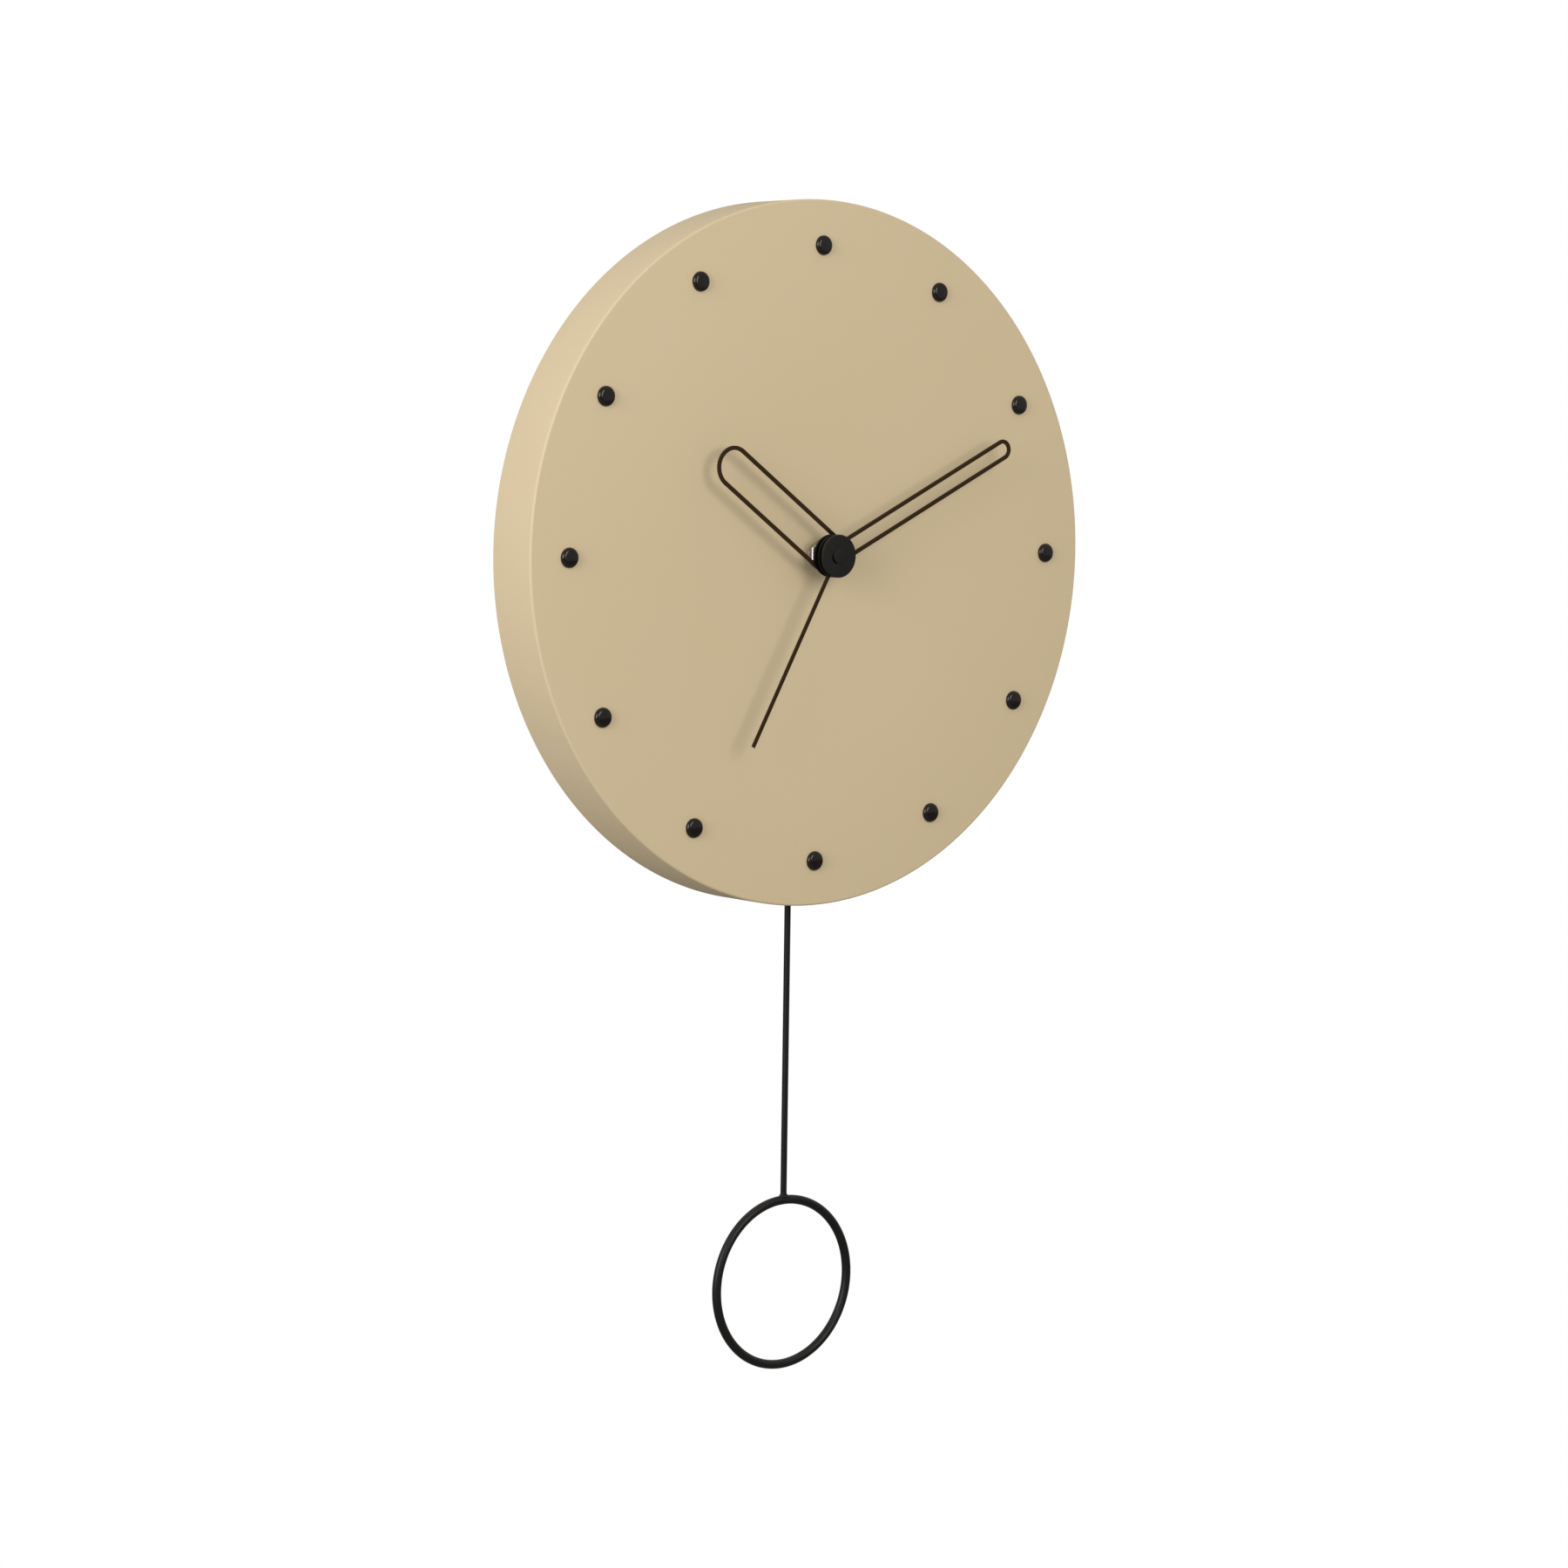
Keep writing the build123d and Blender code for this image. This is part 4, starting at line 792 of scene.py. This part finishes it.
def makeHand(name, own, body, node):
    # a loop on a collet, or a plain strip with a square end
    hand = {**hands, **own}
    hub = hand["hub"]
    half = hand["width"] / 2
    isLoop = "collet" in hand
    turn = math.degrees(math.asin(half / hub))
    outline = arcPoints((0, 0), hub, turn, 360 - turn, hand["hubSteps"])
    shapes = [outline]
    if isLoop:
        inner = half - hand["strip"]
        tip = (hand["reach"] - half, 0)
        turn = math.degrees(math.asin(inner / hub))
        outline += arcPoints(tip, half, -90, 90, hand["tipSteps"])
        window = arcPoints((0, 0), hub, -turn, turn, hand["windowSteps"])
        shapes.append(window + arcPoints(tip, inner, 90, -90, hand["tipSteps"]))
    else:
        outline += [(hand["reach"], -half), (hand["reach"], half)]
    loops = [turned(shape, hand["angle"]) for shape in shapes]
    loops.append(circlePoints((0, 0), hand["bore"], hand["boreCount"]))
    mesh = plateMesh(loops, hand["rear"], hand["front"], hand["edge"])
    if isLoop:
        bore = hand["bore"]
        sizes = (bore, bore + hand["colletWall"], hand["collet"], hand["rear"])
        collet = washerMesh(*sizes, hand["colletEdges"], hand["colletSegments"])
        mesh = joinMeshes([mesh, collet], sharp=45)
    addPiece(name, mesh, body, "hand_paint", node)


makeHand("hourHand", hourHand, "hour", "hour_hand")
makeHand("minuteHand", minuteHand, "minute", "minute_hand")
makeHand("secondHand", secondHand, "second", "second_hand")
print("hands made")

# cap over the hub with its moulded pip, and the slot at the pip's foot where the gate was cut off
cap = {
    "rear": 32.5, "front": 33.6, "edge": 0.3, "rearEdge": 0.12,
    "pip": 2.7, "pipHeight": 0.5, "pipEdge": 0.14, "segments": 144, "sharp": 30,
}
nick = {"width": 0.65, "depth": 0.9, "wall": 0.03, "start": 172.0, "end": 258.0, "fall": 4}


def makeCap():
    front = cap["front"]
    top = front + cap["pipHeight"]
    inner = cap["pip"] + nick["wall"]
    outer = inner + nick["width"]
    corners = (
        (0.0, top, 0.0),
        (cap["pip"], top, cap["pipEdge"]),
        (cap["pip"], front, 0.0),
        (inner, front, 0.0),
        (outer, front, 0.0),
        (outer + nick["wall"], front, 0.0),
        (hands["hub"], front, cap["edge"]),
        (hands["hub"], cap["rear"], cap["rearEdge"]),
        (0.0, cap["rear"], 0.0),
    )
    mesh = latheMesh(roundCorners(corners, steps=6), fromWall(), cap["segments"], sharp=cap["sharp"])
    middle = math.radians((nick["start"] + nick["end"]) / 2)
    half = math.radians((nick["end"] - nick["start"]) / 2)
    for vertex in mesh.vertices:
        up = vertex.co.z - dialZ
        out = math.hypot(vertex.co.x, up)
        away = abs((math.atan2(up, vertex.co.x) - middle + math.pi) % (2 * math.pi) - math.pi)
        isFloor = min(abs(out - mm(inner)), abs(out - mm(outer))) < mm(nick["wall"] / 3)
        if isFloor and away < half and abs(vertex.co.y + mm(front)) < mm(nick["wall"]):
            vertex.co.y += mm(nick["depth"]) * (1 - (away / half) ** nick["fall"])
    shadeByAngle(mesh, cap["sharp"])
    addPiece("hubCap", mesh, "second", "cap_black", "hub_cap")


makeCap()
print("cap made")

# bush with its rolled thread, washer and nut
bush = {
    "radius": 4.0, "bore": 2.95, "flange": 6.05, "lead": 0.4,
    "rear": 18.6, "flangeRear": 19.4, "flangeFront": 20.0, "front": 26.6,
}
thread = {
    "pitch": 0.75, "depth": 0.36, "start": 20.6, "steps": 16, "segments": 72,
    "runIn": 0.8, "runOut": 0.4, "endDepth": 0.2, "flankSlope": 1.3, "crest": 0.15,
}
washer = {"radius": 5.05, "thick": 0.5, "slack": 0.05, "edges": (0.08, 0.1, 0.14, 0.08)}
nut = {
    "flats": 10.0, "height": 2.4, "round": 1.0, "roundSteps": 8, "coneSlope": 0.577, "coneInset": 0.15,
    "cornerFlat": 0.06, "lead": 0.3, "segments": 144,
}


def bushRow(row, angle):
    # a row without a radius is cut by a groove that climbs one pitch a turn and fades at both ends
    radius, height = row
    if radius is None:
        groove = abs((height / thread["pitch"] + angle / (2 * math.pi)) % 1.0 - 0.5) * 2
        fadeIn = (height - thread["start"]) / thread["runIn"]
        fadeOut = (bush["front"] - height) / thread["runOut"] + thread["endDepth"]
        fade = max(0.0, min(1.0, fadeIn, fadeOut))
        flank = max(0.0, min(1.0, groove * thread["flankSlope"] - thread["crest"]))
        radius = bush["radius"] - thread["depth"] * fade * flank
    return radius, height


def makeBush():
    rise = thread["pitch"] / thread["steps"]
    count = int((bush["front"] - thread["start"]) / rise)
    rows = [
        (bush["bore"], bush["rear"]),
        (bush["radius"], bush["rear"]),
        (bush["radius"], bush["flangeRear"]),
        (bush["flange"], bush["flangeRear"]),
        (bush["flange"], bush["flangeFront"]),
        (bush["radius"], bush["flangeFront"]),
    ]
    rows += [(None, thread["start"] + rise * step) for step in range(count + 1)]
    rows += [(bush["radius"] - bush["lead"], bush["front"]), (bush["bore"], bush["front"])]
    mesh = latheMesh(rows, fromWall(), thread["segments"], closed=True, sharp=50, shape=bushRow)
    addPiece("threadedBush", mesh, "case", "brass", "threaded_bush")


def makeWasher():
    rear = case["depth"]
    bore = bush["radius"] + washer["slack"]
    mesh = washerMesh(bore, washer["radius"], rear, rear + washer["thick"], washer["edges"])
    addPiece("bushWasher", mesh, "case", "nickel", "bush_washer")


def makeNut():
    # a hexagon with its rear corners turned off by a cone and its front edge rounded over
    rear = case["depth"] + washer["thick"]
    front = rear + nut["height"]
    apothem = nut["flats"] / 2
    corner = apothem / math.cos(math.pi / 6) - nut["cornerFlat"]
    bore = bush["radius"]
    lead = bore + nut["lead"]
    coneFoot = apothem - nut["coneInset"]

    def nutRow(row, angle):
        kind, size, height = row
        if kind == "turned":
            return size, height
        local = (angle + math.pi / 6) % (math.pi / 3) - math.pi / 6
        hexagon = min(apothem / math.cos(local), corner)
        if kind == "cone":
            height += (hexagon - coneFoot) * nut["coneSlope"]
        return hexagon - size, height

    rows = [("turned", bore, rear + nut["lead"]), ("turned", lead, rear), ("turned", coneFoot, rear)]
    rows.append(("cone", 0.0, rear))
    edge = nut["round"]
    roundOver = arcPoints((edge, front - edge), edge, 180, 90, nut["roundSteps"])
    rows += [("hexagon", inset, height) for inset, height in roundOver]
    rows += [("turned", lead, front), ("turned", bore, front - nut["lead"])]
    mesh = latheMesh(rows, fromWall(), nut["segments"], closed=True, sharp=24, shape=nutRow)
    addPiece("bushNut", mesh, "case", "nickel", "bush_nut")


makeBush()
makeWasher()
makeNut()
print("hub fittings made")

# pendulum ring with its weld bead, and the rod
pendulum = {
    "wire": 1.64, "around": 192, "across": 28,
    "beadSize": (1.8, 1.7, 1.0), "beadShift": (0.2, 1.28), "beadLump": 0.12, "beadGrain": 1.6,
}
rod = {
    "radius": 1.15, "bend": 1.8, "bendSteps": 8, "flare": 0.32, "flareLength": 3.0, "flareSteps": 8,
    "corners": ((9.35, -36.0), (4.25, -36.0), (4.25, -42.0), (7.4, -50.0)),  # out of the wall, and up
}


def makeRing():
    low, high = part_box("pendulum_ring")
    middle = (low + high) / 2
    radius = (high.x - low.x) / 2 * 1000 - pendulum["wire"]
    work = bmesh.new()
    place = Matrix.Translation(middle) @ Matrix.Rotation(math.radians(90), 4, "X")
    section = circlePoints((radius, 0), pendulum["wire"], pendulum["across"])
    addLathe(work, section, place, pendulum["around"], closed=True)
    # a lumpy bead of weld where the rod meets the ring
    bead = bmesh.ops.create_icosphere(work, subdivisions=4, radius=1.0)
    across, up = pendulum["beadShift"]
    centre = middle + Vector((mm(across), 0, mm(radius + up)))
    for vertex in bead["verts"]:
        lump = noise.noise(vertex.co * pendulum["beadGrain"])
        spot = vertex.co * (1 + pendulum["beadLump"] * lump)
        vertex.co = centre + Vector([mm(size) * side for size, side in zip(pendulum["beadSize"], spot)])
    addPiece("pendulumRing", cleanMesh(work, sharp=50), "pendulum", "wire_black", "pendulum_ring")


def makeRod():
    # from the hook in the arm, out past the case and straight down into the ring
    low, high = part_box("pendulum_ring")
    foot = (high.z - dialZ) * 1000 - pendulum["wire"]
    corners = [(out, up, rod["bend"]) for out, up in rod["corners"]]
    out = rod["corners"][-1][0]
    corners.append((out, foot + rod["flareLength"], 0.0))
    line = roundCorners(corners, steps=rod["bendSteps"])
    radii = [rod["radius"]] * len(line)
    for step in range(1, rod["flareSteps"] + 1):
        share = step / rod["flareSteps"]
        line.append((out, foot + rod["flareLength"] * (1 - share)))
        radii.append(rod["radius"] + rod["flare"] * share ** 2)
    path = [Vector((0, -mm(height), dialZ + mm(up))) for height, up in line]
    addPiece("pendulumRod", tubeMesh(path, radii), "pendulum", "wire_black", "pendulum_rod")


makeRing()
makeRod()
print("pendulum made")

# moulded and stamped parts behind the dial, with the radius of their rounded edges
softEdges = {
    "movement_shell": 0.25, "movement_cover": 0.2, "hanger_bracket": 0.18, "setting_knob": 0.22,
    "pendulum_arm": 0.25, "mounting_gasket": 0.2, "train_plate": 0.12, "circuit_board": 0.1,
    "stator_plate": 0.1, "coil_core": 0.1,
    "battery_contact_positive": 0.08, "battery_contact_negative": 0.08,
    "rotor_magnet": 0.2, "pendulum_magnet": 0.2, "quartz_crystal": 0.2, "arm_pivot_pin": 0.12,
}
softening = {"weld": 0.002, "flat": 0.4, "sharp": 32, "steps": 2, "faceWeight": 80}
bodyOf = {}
for body, members in frame["record"]["behaviour"]["bodies"].items():
    for node in members:
        bodyOf[node] = body


def softCopy(node, edge):
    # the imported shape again, with its moulded or stamped edges rounded
    mesh = nodes[node].data.copy()
    if "custom_normal" in mesh.attributes:
        mesh.attributes.remove(mesh.attributes["custom_normal"])
    work = bmesh.new()
    work.from_mesh(mesh)
    bpy.data.meshes.remove(mesh)
    bmesh.ops.remove_doubles(work, verts=work.verts, dist=mm(softening["weld"]))
    flat = math.radians(softening["flat"])
    bmesh.ops.dissolve_limit(work, angle_limit=flat, verts=work.verts, edges=work.edges)
    piece = addPiece(node + "Soft", cleanMesh(work, sharp=180), bodyOf[node], slotOf[node], node)
    rounding = piece.modifiers.new("rounding", "BEVEL")
    rounding.width = mm(edge)
    rounding.segments = softening["steps"]
    rounding.limit_method = "ANGLE"
    rounding.angle_limit = math.radians(softening["sharp"])
    rounding.use_clamp_overlap = True
    flatten = piece.modifiers.new("flatten", "WEIGHTED_NORMAL")
    flatten.keep_sharp = False
    flatten.weight = softening["faceWeight"]
    applyModifiers(piece)


for name, edge in softEdges.items():
    softCopy(name, edge)
print("rounded parts:", len(softEdges))

# raised marks moulded on the movement's cover, whose knob well stands proud of its rear face
cover = {"well": 1.0, "sunk": 0.1}
sign = {"proud": 0.3, "stroke": 1.0, "reach": 2.2, "spot": (23.0, 18.4), "edge": 0.1}
turnMark = {
    "radius": 9.7, "stroke": 1.0, "start": 205.0, "end": 285.0, "head": 1.5, "headTurn": 14.0, "steps": 24,
}
pinMark = {
    "radius": 1.6, "proud": 0.12, "edge": 0.05, "count": 24,
    "spots": ((-24.0, -21.5), (24.0, -21.5), (-24.0, 9.0), (0.0, -21.5)),
}


def makeCoverMarks():
    coverLow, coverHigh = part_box("movement_cover")
    knobLow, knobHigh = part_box("setting_knob")
    knob = ((knobLow.x + knobHigh.x) / 2 * 1000, ((knobLow.z + knobHigh.z) / 2 - dialZ) * 1000)
    rear = -coverHigh.y * 1000 + cover["well"]
    half = sign["stroke"] / 2
    reach = sign["reach"]
    across, up = sign["spot"]
    arm = ((reach, -half), (reach, half), (half, half))
    plus = []
    for angle in (90, 0, -90, -180):
        plus += [(across + u, up + v) for u, v in turned(arm, angle)]
    bar = ((-reach, -half), (reach, -half), (reach, half), (-reach, half))
    minus = [(-across + u, up + v) for u, v in bar]
    radius = turnMark["radius"]
    width = turnMark["stroke"] / 2
    start = turnMark["start"]
    end = turnMark["end"]
    arrow = arcPoints(knob, radius + width, start, end, turnMark["steps"])
    head = turnMark["head"]
    for out, turn in ((head, 0), (0, turnMark["headTurn"]), (-head, 0)):
        arrow.append(polarPoint(knob, radius + out, end + turn))
    arrow += arcPoints(knob, radius - width, end, start, turnMark["steps"])
    marks = [(outline, sign["proud"], sign["edge"]) for outline in (plus, minus, arrow)]
    for spot in pinMark["spots"]:
        disc = circlePoints(spot, pinMark["radius"], pinMark["count"])
        marks.append((disc, pinMark["proud"], pinMark["edge"]))
    sunk = rear + cover["sunk"]
    meshes = [plateMesh([outline], rear - proud, sunk, edge) for outline, proud, edge in marks]
    addPiece("coverMarks", joinMeshes(meshes, sharp=40), "case", "movement_black")


makeCoverMarks()
print("cover marks made")

# hanger screws with a cross recess
screw = {
    "shank": 1.1, "point": 0.3, "pointLength": 0.4, "offset": 6.0, "segments": 48,
    "head": 2.1, "headHeight": 1.2, "headRim": 0.35, "domePower": 0.8, "domeSteps": 10,
    "slotWidth": 0.55, "slotReach": 1.15, "slotDepth": 0.75, "slotTurns": (20, 110), "slotTaper": 0.45,
}


def crossCutter(place, turn):
    # a bar across the head that narrows as it goes down
    work = bmesh.new()
    bmesh.ops.create_cube(work, size=1.0)
    sides = (2 * screw["slotReach"], screw["slotWidth"], 2 * screw["slotDepth"])
    size = Matrix.Diagonal((*[mm(side) for side in sides], 1))
    lift = Matrix.Translation((0, 0, mm(screw["headHeight"])))
    spin = Matrix.Rotation(math.radians(turn), 4, "Z")
    bmesh.ops.transform(work, matrix=place @ lift @ spin @ size, verts=work.verts)
    middle = place.translation
    top = middle.z + mm(screw["headHeight"])
    for vertex in work.verts:
        if vertex.co.z < top:
            vertex.co.x += (middle.x - vertex.co.x) * screw["slotTaper"]
            vertex.co.y += (middle.y - vertex.co.y) * screw["slotTaper"]
    return cleanMesh(work, sharp=30)


def makeScrews():
    low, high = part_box("hanger_screws")
    middle = (low.y + high.y) / 2
    under = high.z - mm(screw["headHeight"])
    length = (under - low.z) * 1000
    rise = screw["headHeight"] - screw["headRim"]
    profile = [(0.0, screw["headHeight"])]
    for step in range(1, screw["domeSteps"] + 1):
        turn = math.pi / 2 * step / screw["domeSteps"]
        level = screw["headRim"] + rise * math.cos(turn) ** screw["domePower"]
        profile.append((screw["head"] * math.sin(turn), level))
    profile += [(screw["head"], 0.0), (screw["shank"], 0.0)]
    profile += [(screw["shank"], screw["pointLength"] - length), (screw["point"], -length), (0.0, -length)]
    meshes = []
    for side in (-1, 1):
        place = Matrix.Translation((mm(side * screw["offset"]), middle, under))
        holder = linkObject("screw", latheMesh(profile, place, screw["segments"]))
        for turn in screw["slotTurns"]:
            cutAway(holder, crossCutter(place, turn))
        meshes.append(holder.data.copy())
        bpy.data.objects.remove(holder)
    addPiece("hangerScrews", joinMeshes(meshes, sharp=30), "case", "zinc_steel", "hanger_screws")


makeScrews()
print("screws made")

# dry cell with its crimped ends, each corner with its rounding last
cell = {
    "nub": 2.75, "nubLength": 1.0, "nubEdge": 0.35,
    "base": (  # radius and height
        (0.0, 0.35, 0.0), (4.1, 0.35, 0.1), (4.5, 0.0, 0.15), (5.2, 0.0, 0.1),
        (5.6, 0.45, 0.1), (6.4, 0.45, 0.1), (6.7, 0.05, 0.15),
    ),
    "sideFoot": ((0.0, 0.1, 0.35), (0.0, 0.9, 0.1), (0.06, 1.0, 0.0)),  # inset and height
    "sideHead": ((0.06, 2.4, 0.0), (0.0, 2.3, 0.1), (0.0, 0.05, 0.5)),  # inset and depth below the shoulder
    "shoulder": ((6.5, 0.0, 0.1), (6.3, 0.4, 0.1), (3.6, 0.4, 0.2), (2.75, 0.25, 0.1)),  # radius and depth
}


def makeCell():
    low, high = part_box("battery_cell")
    middle = (low + high) / 2
    radius = (high.z - low.z) / 2 * 1000
    length = (high.x - low.x) * 1000
    body = length - cell["nubLength"]
    place = Matrix(((0, 0, 1, low.x), (1, 0, 0, middle.y), (0, 1, 0, middle.z), (0, 0, 0, 1)))
    corners = list(cell["base"])
    corners += [(radius - inset, height, edge) for inset, height, edge in cell["sideFoot"]]
    corners += [(radius - inset, body - deep, edge) for inset, deep, edge in cell["sideHead"]]
    corners += [(out, body - deep, edge) for out, deep, edge in cell["shoulder"]]
    corners += [(cell["nub"], length, cell["nubEdge"]), (0.0, length, 0.0)]
    mesh = latheMesh(roundCorners(corners, steps=4), place, sharp=38)
    addPiece("batteryCell", mesh, "battery", "cell_jacket", "battery_cell")


makeCell()
print("cell made")

# studio: pale floor, soft lights and the photograph's camera
studio = {
    "floorDrop": 0.62, "floorSize": 9.0, "floorCells": 12, "floorTone": 0.3, "floorRough": 0.9,
    "world": 0.56,
}
frontLight = {"place": (-0.0125, -1.25, 0.308), "size": 0.775, "power": 6.97, "colour": (1.0, 1.0, 1.0)}
leftLight = {"place": (-2.0, -0.42, 0.4), "size": 1.5, "power": 31.8, "colour": (0.99, 1.0, 1.05)}
camera = {
    "place": (-0.87831, -1.08758, -0.01153), "azimuth": -39.035, "elevation": 5.115, "roll": 0.823,
    "lens": 89.29, "sensor": 36.0, "near": 0.01,
}
white = (1.0, 1.0, 1.0)


def cameraSwitch(tree, lit, shown):
    # one shader for the light that falls on the clock and another for the plain ground behind it
    seen = tree.nodes.new("ShaderNodeLightPath").outputs["Is Camera Ray"]
    pick = addNode(tree, "ShaderNodeMixShader", Fac=seen)
    tree.links.new(lit.outputs[0], pick.inputs[1])
    tree.links.new(shown.outputs[0], pick.inputs[2])
    return pick.outputs[0]


def makeFloor():
    work = bmesh.new()
    cells = studio["floorCells"]
    bmesh.ops.create_grid(work, x_segments=cells, y_segments=cells, size=studio["floorSize"] / 2)
    mesh = bpy.data.meshes.new("paleFloor")
    work.to_mesh(mesh)
    work.free()
    floor = linkObject("paleFloor", mesh)
    floor.location = (0, 0, -studio["floorDrop"])
    finish, tree, skin = startFinish("palePaper", 0.0, studio["floorRough"], (studio["floorTone"],) * 3)
    plain = addNode(tree, "ShaderNodeEmission", Color=white, Strength=1.0)
    tree.links.new(cameraSwitch(tree, skin, plain), tree.nodes["Material Output"].inputs["Surface"])
    mesh.materials.append(finish)


def makeWorld():
    world = bpy.data.worlds.new("studioAir")
    bpy.context.scene.world = world
    world.use_nodes = True
    tree = world.node_tree
    tree.nodes.clear()
    glow = addNode(tree, "ShaderNodeBackground", Color=white, Strength=studio["world"])
    plain = addNode(tree, "ShaderNodeBackground", Color=white, Strength=1.0)
    end = tree.nodes.new("ShaderNodeOutputWorld")
    tree.links.new(cameraSwitch(tree, glow, plain), end.inputs["Surface"])


def makeLight(name, light):
    lamp = bpy.data.lights.new(name, "AREA")
    lamp.shape = "DISK"
    lamp.size = light["size"]
    lamp.energy = light["power"]
    lamp.color = light["colour"]
    holder = linkObject(name, lamp)
    holder.location = light["place"]
    aim = Vector((0, 0, dialZ)) - holder.location
    holder.rotation_euler = aim.to_track_quat("-Z", "Y").to_euler()


def makeCamera():
    lens = bpy.data.cameras.new("photoCamera")
    lens.lens = camera["lens"]
    lens.sensor_width = camera["sensor"]
    lens.sensor_fit = "HORIZONTAL"
    lens.clip_start = camera["near"]
    holder = linkObject("photoCamera", lens)
    turn = Matrix.Rotation(math.radians(camera["azimuth"]), 4, "Z")
    rise = Matrix.Rotation(math.radians(90 - camera["elevation"]), 4, "X")
    roll = Matrix.Rotation(math.radians(camera["roll"]), 4, "Z")
    holder.matrix_world = Matrix.Translation(camera["place"]) @ turn @ rise @ roll
    bpy.context.scene.camera = holder


makeFloor()
makeWorld()
makeLight("frontSoftbox", frontLight)
makeLight("leftSoftbox", leftLight)
makeCamera()
bpy.context.scene.view_settings.view_transform = "Standard"
print("studio ready")

bpy.context.view_layer.update()
